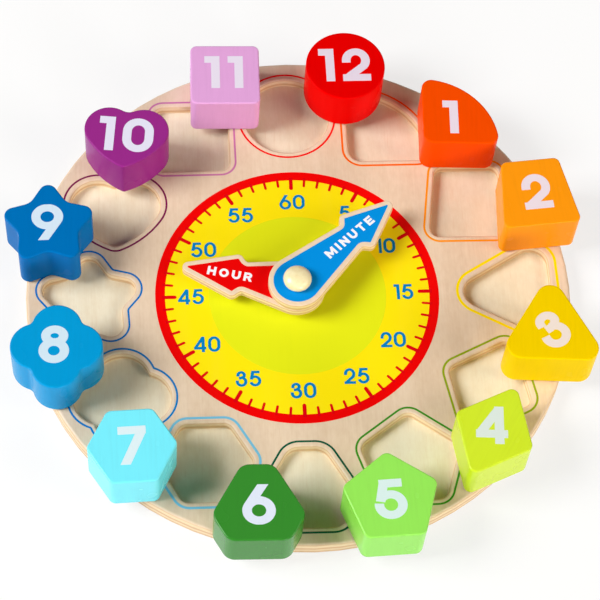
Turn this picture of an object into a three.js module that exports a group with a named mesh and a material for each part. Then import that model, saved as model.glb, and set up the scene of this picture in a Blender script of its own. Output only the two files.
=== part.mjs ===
/*
  A wooden teaching clock that is also a shape puzzle.

  A round plywood board carries a printed dial with two plywood hands on a wooden peg. Twelve
  cut-outs surround the dial, each with its own outline, and twelve painted wooden blocks fit
  them. Here every block stands on the board beside its cut-out, one step round the dial, and
  some reach past the rim.

  Millimetres, +Z up. The origin is the middle of the underside, and +Y points to the twelve.
*/
import * as THREE from 'three';

const degree = Math.PI / 180;

// The board: a plain back disc with a pierced face disc glued on it.
const board_radius = 115.2;
const base_thickness = 3.0;
const face_thickness = 4.5;
const rim_round = 1.5;
const back_round = 1.0;
const pocket_round = 1.3;

// The dial's middle lies a little off the board's middle, as it does on the real board.
const dial_x = -1.1;
const dial_y = -1.3;
const peg_shift_x = -0.7;
const peg_shift_y = 0.1;

// The blocks and how loosely they fit their cut-outs. The cut-outs divide one circle evenly.
const block_height = 21.0;
const block_round = 0.7;
const pocket_clearance = 1.25;
const seat_gap = 0.3;
const rim_band = 7.9;
const pocket_web = 9.0;

// The blocks' outlines, as shares of the width that a round block would have.
const circle_shares = { radius_share: 0.5004 };
const quarter_shares = { radius_share: 0.9457, corner_share: 0.1276, middle_share: 0.3972 };
const trapezoid_shares = {
  top_share: 0.7223, bottom_share: 0.9747, height_share: 0.9312, corner_share: 0.0812,
};
const triangle_shares = { inradius_share: 0.3931, corner_share: 0.1769 };
const rhombus_shares = { short_share: 1.0066, long_share: 1.2938, corner_share: 0.0899 };
const pentagon_shares = { inradius_share: 0.4743, corner_share: 0.0986 };
const clipped_shares = { long_side_share: 0.4221, short_side_share: 0.5207, corner_share: 0.1624 };
const hexagon_shares = { inradius_share: 0.4598, corner_share: 0.0928 };
const quatrefoil_shares = { reach_share: 0.2480, lobe_share: 0.2973, notch_share: 0.0928 };
const star_shares = {
  outer_share: 0.6454, inner_share: 0.3728, tip_share: 0.1102, notch_share: 0.1711,
};
const heart_shares = {
  out_share: 0.2147, rise_share: 0.4873, lobe_share: 0.3075, flank_share: 1.0153,
  tip_share: 0.0609, notch_share: 0.1566,
};
const square_shares = { width_share: 0.8644, corner_share: 0.0812 };

// The standing blocks lie on a circle this far inside the rim.
const standing_inset = 10.2;

// The hands: each has a painted arrow with a border of bare plywood round it.
const hand_thickness = 4.0;
const hand_round = 0.5;
const hand_border = 2.15;
const hub_paint_radius = 9.9;
const hand_point_radius = 0.4;
const neck_half_width = 4.58;
const neck_fillet = 4.0;
const barb_half_width = 7.9;
const barb_sweep = 3.0;
const minute_paint_length = 54.4;
const minute_barb_reach = 35.6;
const hour_paint_length = 47.3;
const hour_barb_reach = 26.3;
const minute_angle = 41.2;
const hour_angle = 167.2;

// The peg that the hands turn on, and the disc that holds them off the dial.
const peg_radius = 3.0;
const peg_glue_gap = 0.15;
const hand_clearance = 0.08;
const spacer_radius = 7.5;
const spacer_height = 3.4;
const cap_radius = 5.95;
const cap_underside = 1.5;
const cap_dome = 3.5;
const cap_foot_radius = 4.9;

// How finely curves are cut into straight steps.
const circle_steps = 48;
const rim_steps = 144;
const corner_step = 18 * degree;
const curve_step = 10 * degree;
const round_steps = 2;
const cap_lip_steps = 3;
const cap_dome_steps = 6;
const same_point = 0.001;

// The rim band lies outside a round cut-out and the web between two of them.
const half_pitch = Math.PI / 12;
const pocket_circle = (board_radius - rim_band + pocket_web / 2) / (1 + Math.sin(half_pitch));
const block_span = 2 * pocket_circle * Math.sin(half_pitch) - pocket_web - 2 * pocket_clearance;
const standing_circle = board_radius - standing_inset;

const face_bottom = base_thickness;
const face_top = base_thickness + face_thickness;
const block_bottom = face_top + seat_gap;
const spacer_top = face_top + spacer_height;
const hour_bottom = spacer_top + seat_gap;
const minute_bottom = hour_bottom + hand_thickness + seat_gap;
const cap_bottom = minute_bottom + hand_thickness + seat_gap;
const peg_x = dial_x + peg_shift_x;
const peg_y = dial_y + peg_shift_y;

/*
  Outlines. An outline is a list of arcs, met in turn anticlockwise and joined by straight
  lines. An arc with turn 1 bulges outwards and one with turn -1 curves inwards, so the whole
  outline grows or shrinks evenly when only the radii change.
*/
const arc = (x, y, radius, from, to, turn = 1, step = corner_step) => ({
  x, y, radius, from, to, turn,
  steps: Math.max(2, Math.round(Math.abs(to - from) / step)),
});

function arcCorner(before, at, after, radius) {
  const u = new THREE.Vector2().subVectors(before, at).normalize();
  const w = new THREE.Vector2().subVectors(after, at).normalize();
  const half = Math.acos(THREE.MathUtils.clamp(u.dot(w), -1, 1)) / 2;
  const middle = u.clone().add(w).normalize();
  const reach = radius / Math.sin(half);
  const turn = u.cross(w) < 0 ? 1 : -1;
  const cx = at.x + middle.x * reach;
  const cy = at.y + middle.y * reach;
  const sweep = Math.PI - 2 * half;
  const back = Math.atan2(-middle.y, -middle.x);
  return arc(cx, cy, radius, back - turn * sweep / 2, back + turn * sweep / 2, turn);
}

function roundedPolygon(corners, radii) {
  const count = corners.length;
  return corners.map((at, i) => arcCorner(
    corners[(i + count - 1) % count], at, corners[(i + 1) % count], radii[i % radii.length]));
}

function arcPoint(a, radius, angle) {
  return new THREE.Vector2(a.x + radius * Math.cos(angle), a.y + radius * Math.sin(angle));
}

// Two arcs that touch share their meeting point, which is then taken once.
function outlinePoints(arcs, grow) {
  const points = [];
  arcs.forEach((a, number) => {
    const before = arcs[(number + arcs.length - 1) % arcs.length];
    const start = arcPoint(a, a.radius, a.from);
    const touches = start.distanceTo(arcPoint(before, before.radius, before.to)) < same_point;
    const radius = a.radius + a.turn * grow;
    for (let i = touches ? 1 : 0; i <= a.steps; i += 1) {
      points.push(arcPoint(a, radius, a.from + (a.to - a.from) * i / a.steps));
    }
  });
  return points;
}

const discOutline = (radius, steps = circle_steps) => [
  { x: 0, y: 0, radius, from: 0, to: 2 * Math.PI, turn: 1, steps },
];

// A block's outline is drawn in shares of the blocks' width, and this gives it its real size.
const sized = (outline) => outline.map((a) => ({
  ...a, x: a.x * block_span, y: a.y * block_span, radius: a.radius * block_span,
}));

function regularOutline(sides, { inradius_share, corner_share }, first) {
  const reach = inradius_share / Math.cos(Math.PI / sides);
  const corners = [];
  for (let i = 0; i < sides; i += 1) {
    const angle = first + 2 * Math.PI * i / sides;
    corners.push(new THREE.Vector2(reach * Math.cos(angle), reach * Math.sin(angle)));
  }
  return roundedPolygon(corners, [corner_share]);
}

function quarterOutline(shares) {
  const { radius_share: radius, corner_share: corner, middle_share: middle } = shares;
  const inner = radius - corner;
  const far = Math.sqrt(inner * inner - corner * corner);
  const tilt = Math.atan2(corner, far);
  const near = corner - middle;
  return [
    arc(far - middle, near, corner, -Math.PI / 2, tilt),
    arc(-middle, -middle, radius, tilt, Math.PI / 2 - tilt, 1, curve_step / 2),
    arc(near, far - middle, corner, Math.PI / 2 - tilt, Math.PI),
    arc(near, near, corner, Math.PI, 1.5 * Math.PI),
  ];
}

function trapezoidOutline(shares) {
  const { top_share: top, bottom_share: bottom, height_share: height } = shares;
  return roundedPolygon([
    new THREE.Vector2(-bottom / 2, -height / 2),
    new THREE.Vector2(bottom / 2, -height / 2),
    new THREE.Vector2(top / 2, height / 2),
    new THREE.Vector2(-top / 2, height / 2),
  ], [shares.corner_share]);
}

const squareOutline = ({ width_share, corner_share }) => trapezoidOutline({
  top_share: width_share, bottom_share: width_share, height_share: width_share, corner_share,
});

function rhombusOutline({ short_share: short, long_share: long, corner_share: corner }) {
  return roundedPolygon([
    new THREE.Vector2(short / 2, 0),
    new THREE.Vector2(0, long / 2),
    new THREE.Vector2(-short / 2, 0),
    new THREE.Vector2(0, -long / 2),
  ], [corner]);
}

// A triangle with its three corners cut off, so that long and short sides take turns.
function clippedTriangleOutline({ long_side_share, short_side_share, corner_share }) {
  const sides = [];
  for (let i = 0; i < 6; i += 1) {
    const angle = -Math.PI / 2 + i * Math.PI / 3;
    const reach = i % 2 === 0 ? long_side_share : short_side_share;
    sides.push({ x: Math.cos(angle), y: Math.sin(angle), reach });
  }
  const corners = sides.map((a, i) => {
    const b = sides[(i + 1) % sides.length];
    const det = a.x * b.y - a.y * b.x;
    return new THREE.Vector2(
      (a.reach * b.y - b.reach * a.y) / det,
      (a.x * b.reach - b.x * a.reach) / det);
  });
  return roundedPolygon(corners, [corner_share]);
}

function lobedOutline({ reach_share: reach, lobe_share: lobe, notch_share: notch }) {
  const spread = lobe + notch;
  const diagonal = (Math.SQRT2 * reach + Math.sqrt(4 * spread * spread - 2 * reach * reach)) / 2;
  const arcs = [];
  for (let i = 0; i < 4; i += 1) {
    const angle = i * Math.PI / 2;
    const out = new THREE.Vector2(Math.cos(angle), Math.sin(angle)).multiplyScalar(reach);
    const gap = angle + Math.PI / 4;
    const dip = new THREE.Vector2(Math.cos(gap), Math.sin(gap)).multiplyScalar(diagonal);
    const open = Math.atan2(dip.y - out.y, dip.x - out.x) - angle;
    const half = Math.abs(Math.atan2(Math.sin(open), Math.cos(open)));
    arcs.push(arc(out.x, out.y, lobe, angle - half, angle + half, 1, curve_step));
    const inward = gap + Math.PI;
    const swing = half - Math.PI / 4;
    arcs.push(arc(dip.x, dip.y, notch, inward + swing, inward - swing, -1));
  }
  return arcs;
}

function starOutline({ outer_share, inner_share, tip_share, notch_share }) {
  const corners = [];
  for (let i = 0; i < 10; i += 1) {
    const angle = Math.PI / 2 + i * Math.PI / 5;
    const reach = i % 2 === 0 ? outer_share : inner_share;
    corners.push(new THREE.Vector2(reach * Math.cos(angle), reach * Math.sin(angle)));
  }
  return roundedPolygon(corners, [tip_share, notch_share]);
}

// Two round lobes, two long bulging sides that touch them, a round tip and a soft notch.
function heartOutline(shares) {
  const { lobe_share: lobe, flank_share: side, tip_share: tip, notch_share: notch } = shares;
  const lobeAt = new THREE.Vector2(shares.out_share, shares.rise_share / 2);
  const tipAt = new THREE.Vector2(0, -shares.rise_share / 2);
  const toLobe = side - lobe;
  const toTip = side - tip;
  const span = lobeAt.distanceTo(tipAt);
  const along = (toTip * toTip - toLobe * toLobe + span * span) / (2 * span);
  const across = Math.sqrt(toTip * toTip - along * along);
  const ex = new THREE.Vector2().subVectors(lobeAt, tipAt).normalize();
  const sideAt = new THREE.Vector2(
    tipAt.x + ex.x * along - ex.y * across,
    tipAt.y + ex.y * along + ex.x * across);
  const low = Math.atan2(tipAt.y - sideAt.y, tipAt.x - sideAt.x);
  const high = Math.atan2(lobeAt.y - sideAt.y, lobeAt.x - sideAt.x);
  const meet = lobe + notch;
  const notchY = lobeAt.y + Math.sqrt(meet * meet - lobeAt.x * lobeAt.x);
  const top = Math.atan2(notchY - lobeAt.y, -lobeAt.x);
  const right = Math.atan2(lobeAt.y - notchY, lobeAt.x);
  return [
    arc(sideAt.x, sideAt.y, side, low, high, 1, curve_step / 2),
    arc(lobeAt.x, lobeAt.y, lobe, high, top, 1, curve_step),
    arc(0, notchY, notch, right, -Math.PI - right, -1),
    arc(-lobeAt.x, lobeAt.y, lobe, Math.PI - top, Math.PI - high, 1, curve_step),
    arc(-sideAt.x, sideAt.y, side, Math.PI - high, Math.PI - low, 1, curve_step / 2),
    arc(tipAt.x, tipAt.y, tip, Math.PI - low - 2 * Math.PI, low),
  ];
}

// A round hub, a shank that narrows to the neck, and an arrowhead with swept-back barbs.
function handOutline(paintLength, barbReach, grow) {
  const neck = new THREE.Vector2(barbReach - barb_sweep, neck_half_width);
  const tangent = Math.atan2(neck.y, neck.x) + Math.acos(hub_paint_radius / neck.length());
  const touch = new THREE.Vector2(Math.cos(tangent), Math.sin(tangent))
    .multiplyScalar(hub_paint_radius);
  const barb = new THREE.Vector2(barbReach, barb_half_width);
  const point = new THREE.Vector2(paintLength, 0);
  const low = (v) => new THREE.Vector2(v.x, -v.y);
  const arcs = [
    arc(0, 0, hub_paint_radius, tangent, 2 * Math.PI - tangent, 1, curve_step),
    arcCorner(low(touch), low(neck), low(barb), neck_fillet),
    arcCorner(low(neck), low(barb), point, hand_point_radius),
    arcCorner(low(barb), point, barb, hand_point_radius),
    arcCorner(point, barb, neck, hand_point_radius),
    arcCorner(barb, neck, touch, neck_fillet),
  ];
  return arcs.map((a) => ({ ...a, radius: a.radius + a.turn * grow }));
}

/*
  A solid from level outlines. Each contour has a profile of steps, from the bottom upwards, and
  every step says how far the outline has grown there and how high it lies. The first contour is
  the outside and the others are holes through the solid.
*/
function plate(contours) {
  const positions = [];
  const indices = [];
  const bottoms = [];
  const tops = [];
  contours.forEach(({ outline, profile, place }, number) => {
    const rings = profile.map(({ grow, z }) => {
      const first = positions.length / 3;
      const ring = outlinePoints(outline, grow).map((p) => (place ? place(p) : p));
      for (const p of ring) positions.push(p.x, p.y, z);
      return { first, ring };
    });
    for (let level = 1; level < rings.length; level += 1) {
      const low = rings[level - 1];
      const high = rings[level];
      const count = low.ring.length;
      for (let i = 0; i < count; i += 1) {
        const j = (i + 1) % count;
        const a = low.first + i;
        const b = low.first + j;
        const c = high.first + j;
        const d = high.first + i;
        if (number === 0) indices.push(a, b, c, a, c, d);
        else indices.push(a, c, b, a, d, c);
      }
    }
    bottoms.push(rings[0]);
    tops.push(rings[rings.length - 1]);
  });
  const cap = (rings, up) => {
    const points = rings.flatMap(({ ring }) => ring);
    const numbers = rings.flatMap(({ first, ring }) => ring.map((p, i) => first + i));
    const [outside, ...holes] = rings.map(({ ring }) => ring);
    for (const [i, j, k] of THREE.ShapeUtils.triangulateShape(outside, holes)) {
      const area = THREE.ShapeUtils.area([points[i], points[j], points[k]]);
      const face = (area > 0) === up ? [i, j, k] : [i, k, j];
      indices.push(...face.map((n) => numbers[n]));
    }
  };
  cap(bottoms, false);
  cap(tops, true);
  const geometry = new THREE.BufferGeometry();
  geometry.setAttribute('position', new THREE.Float32BufferAttribute(positions, 3));
  geometry.setIndex(indices);
  geometry.computeVertexNormals();
  return geometry;
}

// A profile with straight walls and rounded edges below and above, either of them possibly sharp.
function roundedProfile(bottom, top, lowRound, highRound, side = 1) {
  const profile = [];
  if (lowRound > 0) {
    for (let i = 0; i <= round_steps; i += 1) {
      const angle = Math.PI / 2 * i / round_steps;
      profile.push({
        grow: -side * lowRound * (1 - Math.sin(angle)),
        z: bottom + lowRound * (1 - Math.cos(angle)),
      });
    }
  } else profile.push({ grow: 0, z: bottom });
  if (highRound > 0) {
    for (let i = 0; i <= round_steps; i += 1) {
      const angle = Math.PI / 2 * i / round_steps;
      profile.push({
        grow: -side * highRound * (1 - Math.cos(angle)),
        z: top - highRound * (1 - Math.sin(angle)),
      });
    }
  } else profile.push({ grow: 0, z: top });
  return profile;
}

// Each block's outline, its home on the pocket circle and where it stands now. The places are
// shares of the two circles' radii, and the angles are degrees anticlockwise from +X.
const blocks = [
  {
    name: 'block_01_quarter_circle', outline: quarterOutline(quarter_shares), colour: 0xf64c02,
    home_share: 1.0167, home_angle: 62.8, home_turn: 0.0,
    standing_share: 0.9749, standing_angle: 46.22, standing_turn: -2.46,
  },
  {
    name: 'block_02_trapezoid', outline: trapezoidOutline(trapezoid_shares), colour: 0xff9a14,
    home_share: 0.9958, home_angle: 29.79, home_turn: -0.5,
    standing_share: 1.0321, standing_angle: 18.92, standing_turn: 4.81,
  },
  {
    name: 'block_03_triangle', colour: 0xf5cf00,
    outline: regularOutline(3, triangle_shares, Math.PI / 2),
    home_share: 1.0512, home_angle: -0.24, home_turn: 90.5,
    standing_share: 1.0167, standing_angle: -16.58, standing_turn: -3.86,
  },
  {
    name: 'block_04_rhombus', outline: rhombusOutline(rhombus_shares), colour: 0xcfe81f,
    home_share: 1.0112, home_angle: -29.85, home_turn: -27.16,
    standing_share: 1.0035, standing_angle: -45.32, standing_turn: -29.76,
  },
  {
    name: 'block_05_pentagon', colour: 0x92e856,
    outline: regularOutline(5, pentagon_shares, Math.PI / 2),
    home_share: 0.9931, home_angle: -61.18, home_turn: 0.1,
    standing_share: 1.0221, standing_angle: -73.43, standing_turn: 2.31,
  },
  {
    name: 'block_06_clipped_triangle', colour: 0x308723,
    outline: clippedTriangleOutline(clipped_shares),
    home_share: 1.01, home_angle: -90.1, home_turn: -0.5,
    standing_share: 1.0170, standing_angle: -101.84, standing_turn: -0.98,
  },
  {
    name: 'block_07_hexagon', colour: 0x74efff,
    outline: regularOutline(6, hexagon_shares, 0),
    home_share: 0.9725, home_angle: -118.36, home_turn: 0.0,
    standing_share: 0.9984, standing_angle: -132.65, standing_turn: 2.02,
  },
  {
    name: 'block_08_quatrefoil', outline: lobedOutline(quatrefoil_shares), colour: 0x0098da,
    home_share: 0.9866, home_angle: -148.3, home_turn: 0.0,
    standing_share: 1.0057, standing_angle: -162.31, standing_turn: -1.91,
  },
  {
    name: 'block_09_star', outline: starOutline(star_shares), colour: 0x006fbd,
    home_share: 0.9872, home_angle: 179.95, home_turn: 0.0,
    standing_share: 1.0147, standing_angle: 166.52, standing_turn: 0.59,
  },
  {
    name: 'block_10_heart', outline: heartOutline(heart_shares), colour: 0x972789,
    home_share: 0.9548, home_angle: 153.82, home_turn: -0.5,
    standing_share: 0.8990, standing_angle: 138.91, standing_turn: -6.04,
  },
  {
    name: 'block_11_square', outline: squareOutline(square_shares), colour: 0xe1a5de,
    home_share: 0.9998, home_angle: 118.33, home_turn: 0.2,
    standing_share: 0.9621, standing_angle: 105.64, standing_turn: -1.12,
  },
  {
    name: 'block_12_circle', outline: discOutline(circle_shares.radius_share), colour: 0xe50202,
    home_share: 1.0012, home_angle: 90.07, home_turn: 0.0,
    standing_share: 0.9905, standing_angle: 75.91, standing_turn: 0.0,
  },
];

const wood = (colour) => new THREE.MeshStandardMaterial({
  color: colour, roughness: 0.5, metalness: 0,
});

function named(name, geometry, colour) {
  const mesh = new THREE.Mesh(geometry, wood(colour));
  mesh.name = name;
  return mesh;
}

function makeBaseBoard() {
  return named('base_board', plate([{
    outline: discOutline(board_radius, rim_steps),
    profile: roundedProfile(0, base_thickness, back_round, 0),
  }]), 0xe6cba8);
}

// The cut-outs in the face disc are the block outlines grown by the clearance.
function makeFaceBoard() {
  const pockets = blocks.map((block) => {
    const turn = block.home_turn * degree;
    const reach = pocket_circle * block.home_share;
    const x = dial_x + reach * Math.cos(block.home_angle * degree);
    const y = dial_y + reach * Math.sin(block.home_angle * degree);
    const origin = new THREE.Vector2();
    const profile = roundedProfile(face_bottom, face_top, 0, pocket_round, -1)
      .map((step) => ({ grow: step.grow + pocket_clearance, z: step.z }));
    const place = (p) => p.clone().rotateAround(origin, turn).add(new THREE.Vector2(x, y));
    return { outline: sized(block.outline), profile, place };
  });
  const pegHole = {
    outline: discOutline(peg_radius + peg_glue_gap),
    profile: roundedProfile(face_bottom, face_top, 0, 0),
    place: (p) => new THREE.Vector2(p.x + peg_x, p.y + peg_y),
  };
  return named('face_board', plate([
    {
      outline: discOutline(board_radius, rim_steps),
      profile: roundedProfile(face_bottom, face_top, 0, rim_round),
    },
    ...pockets,
    pegHole,
  ]), 0xeed4b8);
}

function makeBlock(block) {
  const mesh = named(block.name, plate([{
    outline: sized(block.outline),
    profile: roundedProfile(0, block_height, block_round, block_round),
  }]), block.colour);
  const reach = standing_circle * block.standing_share;
  mesh.position.set(
    dial_x + reach * Math.cos(block.standing_angle * degree),
    dial_y + reach * Math.sin(block.standing_angle * degree),
    block_bottom);
  mesh.rotation.z = block.standing_turn * degree;
  return mesh;
}

function makeHand(name, paintLength, barbReach, angle, bottom, colour) {
  const mesh = named(name, plate([
    {
      outline: handOutline(paintLength, barbReach, hand_border),
      profile: roundedProfile(0, hand_thickness, hand_round, hand_round),
    },
    {
      outline: discOutline(peg_radius + hand_clearance),
      profile: roundedProfile(0, hand_thickness, 0, 0),
    },
  ]), colour);
  mesh.position.set(0, 0, bottom);
  mesh.rotation.z = angle * degree;
  return mesh;
}

function makeSpacer() {
  return named('hand_spacer', plate([
    {
      outline: discOutline(spacer_radius),
      profile: roundedProfile(face_top, spacer_top, 0, 0),
    },
    {
      outline: discOutline(peg_radius + peg_glue_gap),
      profile: roundedProfile(face_top, spacer_top, 0, 0),
    },
  ]), 0xe8cfaa);
}

// A turned peg: a straight shank under a mushroom head with a low dome.
function makePeg() {
  const widest = cap_bottom + cap_underside;
  const profile = [
    new THREE.Vector2(0, face_bottom + seat_gap),
    new THREE.Vector2(peg_radius, face_bottom + seat_gap),
    new THREE.Vector2(peg_radius, cap_bottom),
    new THREE.Vector2(cap_foot_radius, cap_bottom),
  ];
  const lip = cap_radius - cap_foot_radius;
  for (let i = 1; i <= cap_lip_steps; i += 1) {
    const angle = Math.PI / 2 * i / cap_lip_steps;
    profile.push(new THREE.Vector2(
      cap_foot_radius + lip * Math.sin(angle), widest - cap_underside * Math.cos(angle)));
  }
  for (let i = 1; i <= cap_dome_steps; i += 1) {
    const angle = Math.PI / 2 * i / cap_dome_steps;
    const x = i === cap_dome_steps ? 0 : cap_radius * Math.cos(angle);
    profile.push(new THREE.Vector2(x, widest + cap_dome * Math.sin(angle)));
  }
  const geometry = new THREE.LatheGeometry(profile, circle_steps);
  geometry.rotateX(Math.PI / 2);
  return named('hand_peg', geometry, 0xfaeec8);
}

const clock = new THREE.Group();
clock.add(makeBaseBoard(), makeFaceBoard());
for (const block of blocks) clock.add(makeBlock(block));

const pivot = new THREE.Group();
pivot.position.set(peg_x, peg_y, 0);
pivot.add(
  makeSpacer(),
  makeHand('hour_hand', hour_paint_length, hour_barb_reach, hour_angle, hour_bottom, 0xe10000),
  makeHand(
    'minute_hand', minute_paint_length, minute_barb_reach, minute_angle, minute_bottom, 0x0091e1),
  makePeg());
clock.add(pivot);

export default clock;
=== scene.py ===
"""The finished looks of a wooden teaching clock that is also a shape puzzle.

A round plywood board carries a printed dial, two plywood hands on a turned peg, twelve shaped
cut-outs with a coloured line round each, and twelve painted blocks that fit the cut-outs.
Sizes are in millimetres unless a name says otherwise, and the meshes are made in metres.
"""
import logging
import math
from dataclasses import dataclass, field
from enum import Enum
from typing import Optional, Sequence, Union

import bpy
from mathutils import Matrix, Vector
from mathutils.geometry import delaunay_2d_cdt


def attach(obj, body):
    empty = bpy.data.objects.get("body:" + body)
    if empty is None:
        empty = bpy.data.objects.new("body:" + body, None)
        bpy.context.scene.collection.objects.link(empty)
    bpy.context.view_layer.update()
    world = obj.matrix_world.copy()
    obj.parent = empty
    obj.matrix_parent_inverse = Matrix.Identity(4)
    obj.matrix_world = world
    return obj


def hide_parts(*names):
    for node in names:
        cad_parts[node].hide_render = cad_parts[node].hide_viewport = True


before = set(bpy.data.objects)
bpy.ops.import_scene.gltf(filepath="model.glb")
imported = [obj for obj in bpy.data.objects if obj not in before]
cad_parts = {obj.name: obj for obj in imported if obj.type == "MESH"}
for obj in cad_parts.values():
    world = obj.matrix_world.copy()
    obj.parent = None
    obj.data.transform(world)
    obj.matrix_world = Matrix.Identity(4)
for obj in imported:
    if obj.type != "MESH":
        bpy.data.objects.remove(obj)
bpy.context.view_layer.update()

log = logging.getLogger("teaching_clock")

METRES_PER_MM = 0.001
IMAGE_PIXELS = 600
BLOCK_COUNT = 12
MINUTES = 60
NOISE_MIDDLE = 0.5

Colour = tuple[float, float, float, float]
Feed = Union["Wire", float, Sequence[float]]
Point = tuple[float, float]

WHITE: Colour = (1.0, 1.0, 1.0, 1.0)
BLACK: Colour = (0.0, 0.0, 0.0, 1.0)


def srgb(red: float, green: float, blue: float) -> Colour:
    """Turns a screen colour of 0 to 255 into the renderer's linear colour.

    Args:
        red: The red share, 0 to 255.
        green: The green share, 0 to 255.
        blue: The blue share, 0 to 255.

    Returns:
        The linear colour with full alpha.
    """
    def linear(share: float) -> float:
        """Undoes the screen's curve for one share."""
        value = share / 255
        return value / 12.92 if value <= 0.04045 else ((value + 0.055) / 1.055) ** 2.4

    return linear(red), linear(green), linear(blue), 1.0


@dataclass(frozen=True)
class Grain:
    """Cloudy noise: its features in a metre along X, Y and Z, its finer layers and its share."""

    scale: tuple[float, float, float]
    detail: float = 2.0
    rough: float = 0.5
    share: float = 1.0


@dataclass(frozen=True)
class SoftStep:
    """A soft step from 0 to 1: where it begins and how wide it is."""

    edge: float
    soft: float


@dataclass(frozen=True)
class Relief:
    """A bumped surface: its depth in millimetres, and how much of the bump is used."""

    depth: float
    strength: float


EVEN_STEP = SoftStep(0.0, 1.0)


class Wire:
    """A node's output, on which Python's sums add Math nodes."""

    def __init__(self, graph: "Graph", socket: bpy.types.NodeSocket) -> None:
        """Keeps the socket and the graph that it belongs to."""
        self.graph = graph
        self.socket = socket

    def __add__(self, other: Feed) -> "Wire":
        """Adds a value."""
        return self.graph.maths("ADD", self, other)

    def __radd__(self, other: Feed) -> "Wire":
        """Adds to a value."""
        return self.graph.maths("ADD", other, self)

    def __sub__(self, other: Feed) -> "Wire":
        """Takes a value away."""
        return self.graph.maths("SUBTRACT", self, other)

    def __rsub__(self, other: Feed) -> "Wire":
        """Is taken away from a value."""
        return self.graph.maths("SUBTRACT", other, self)

    def __mul__(self, other: Feed) -> "Wire":
        """Multiplies by a value."""
        return self.graph.maths("MULTIPLY", self, other)

    def __rmul__(self, other: Feed) -> "Wire":
        """Multiplies a value."""
        return self.graph.maths("MULTIPLY", other, self)

    def above(self, step: SoftStep) -> "Wire":
        """Rises from 0 to 1 over a soft step."""
        return self.graph.node(
            "MapRange", {"interpolation_type": "SMOOTHSTEP"},
            {"Value": self, "From Min": step.edge, "From Max": step.edge + step.soft})


class Graph:
    """The node tree of a material or of the world; its numbers are a Mix node's colour sockets."""

    MIX_FACTOR = 0
    MIX_FIRST = 6
    MIX_SECOND = 7
    MIX_RESULT = 2

    def __init__(self, tree: bpy.types.NodeTree) -> None:
        """Empties the tree and keeps it."""
        self.tree = tree
        tree.nodes.clear()

    def node(self, kind: str, settings: Optional[dict] = None,
             feeds: Optional[dict] = None, output: Union[int, str] = 0) -> Optional[Wire]:
        """Adds a node of any kind.

        Args:
            kind: The node's type, without its ShaderNode prefix.
            settings: Its settings, set first; stops are a ramp's colours by position.
            feeds: A value or a wire for each input socket that is fed.
            output: The output that the next node reads.

        Returns:
            That output, or nothing for a node that has none.
        """
        made = self.tree.nodes.new("ShaderNode" + kind)
        for key, value in (settings or {}).items():
            if key == "stops":
                self.set_stops(made.color_ramp, value)
            else:
                setattr(made, key, value)
        for key, value in (feeds or {}).items():
            if isinstance(value, Wire):
                self.tree.links.new(value.socket, made.inputs[key])
            else:
                made.inputs[key].default_value = value
        return Wire(self, made.outputs[output]) if made.outputs else None

    @staticmethod
    def set_stops(ramp: bpy.types.ColorRamp, stops: Sequence[tuple[float, Colour]]) -> None:
        """Gives a ramp its stops.

        Args:
            ramp: The ramp to set.
            stops: Positions from 0 to 1 with their colours, in order.
        """
        while len(ramp.elements) < len(stops):
            ramp.elements.new(1.0)
        for element, (position, colour) in zip(ramp.elements, stops):
            element.position = position
            element.color = colour

    def maths(self, operation: str, first: Feed, second: Feed) -> Wire:
        """Adds a Math node for one sum on two values."""
        return self.node("Math", {"operation": operation}, {0: first, 1: second})

    def mix(self, factor: Feed, first: Feed, second: Feed) -> Wire:
        """Mixes two colours.

        Args:
            factor: How much of the second colour there is.
            first: The first colour.
            second: The second colour.

        Returns:
            The mixed colour.
        """
        return self.node(
            "Mix", {"data_type": "RGBA"},
            {self.MIX_FACTOR: factor, self.MIX_FIRST: first, self.MIX_SECOND: second},
            self.MIX_RESULT)

    def noise(self, grain: Grain) -> Wire:
        """Gives cloudy noise over the piece, stretched along its own axes.

        Args:
            grain: How fine the noise is, and how strong its finer layers are.

        Returns:
            The noise, about 0.5 on average.
        """
        place = self.node("TexCoord", output="Object")
        stretched = self.node("VectorMath", {"operation": "MULTIPLY"}, {0: place, 1: grain.scale})
        return self.node(
            "TexNoise", {"noise_dimensions": "3D"},
            {"Vector": stretched, "Scale": 1.0, "Detail": grain.detail,
             "Roughness": grain.rough})

    def share_of(self, grain: Grain) -> Wire:
        """Gives a grain's noise times its share."""
        return self.noise(grain) * grain.share

    def varied(self, noise: Wire, middle: float, swing: float) -> Wire:
        """Gives a value that follows a noise about its middle."""
        return noise * swing + (middle - swing / 2)

    def axis(self, coordinates: str, letter: str) -> Wire:
        """Gives one axis of the coordinates of a kind: Object, Normal or Generated."""
        place = self.node("TexCoord", output=coordinates)
        return self.node("SeparateXYZ", None, {0: place}, letter)

    def sees_background(self) -> Wire:
        """Is 1 for the camera's rays and for mirrored and see-through ones, and 0 for light."""
        camera, mirrored, through = (
            self.node("LightPath", output="Is %s Ray" % kind)
            for kind in ("Camera", "Glossy", "Transmission"))
        return self.maths("MAXIMUM", self.maths("MAXIMUM", camera, mirrored), through)

    def bump(self, height: Wire, relief: Relief) -> Wire:
        """Turns a height of 0 to 1 into a bumped normal."""
        depth = relief.depth * METRES_PER_MM
        return self.node(
            "Bump", None, {"Height": height, "Distance": depth, "Strength": relief.strength})


@dataclass(frozen=True)
class Finish:
    """A finish of one surface, made into a material once."""

    name: str

    def material(self) -> bpy.types.Material:
        """Makes the material, or finds it if it was made before.

        Returns:
            The material.
        """
        title = "finish_" + self.name
        made = bpy.data.materials.get(title)
        if made is None:
            made = bpy.data.materials.new(title)
            made.use_nodes = True
            graph = Graph(made.node_tree)
            graph.node("OutputMaterial", None, {"Surface": self.surface(graph)})
        return made

    def surface(self, graph: Graph) -> Wire:
        """Builds the surface's shader in a graph."""
        raise NotImplementedError


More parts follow.
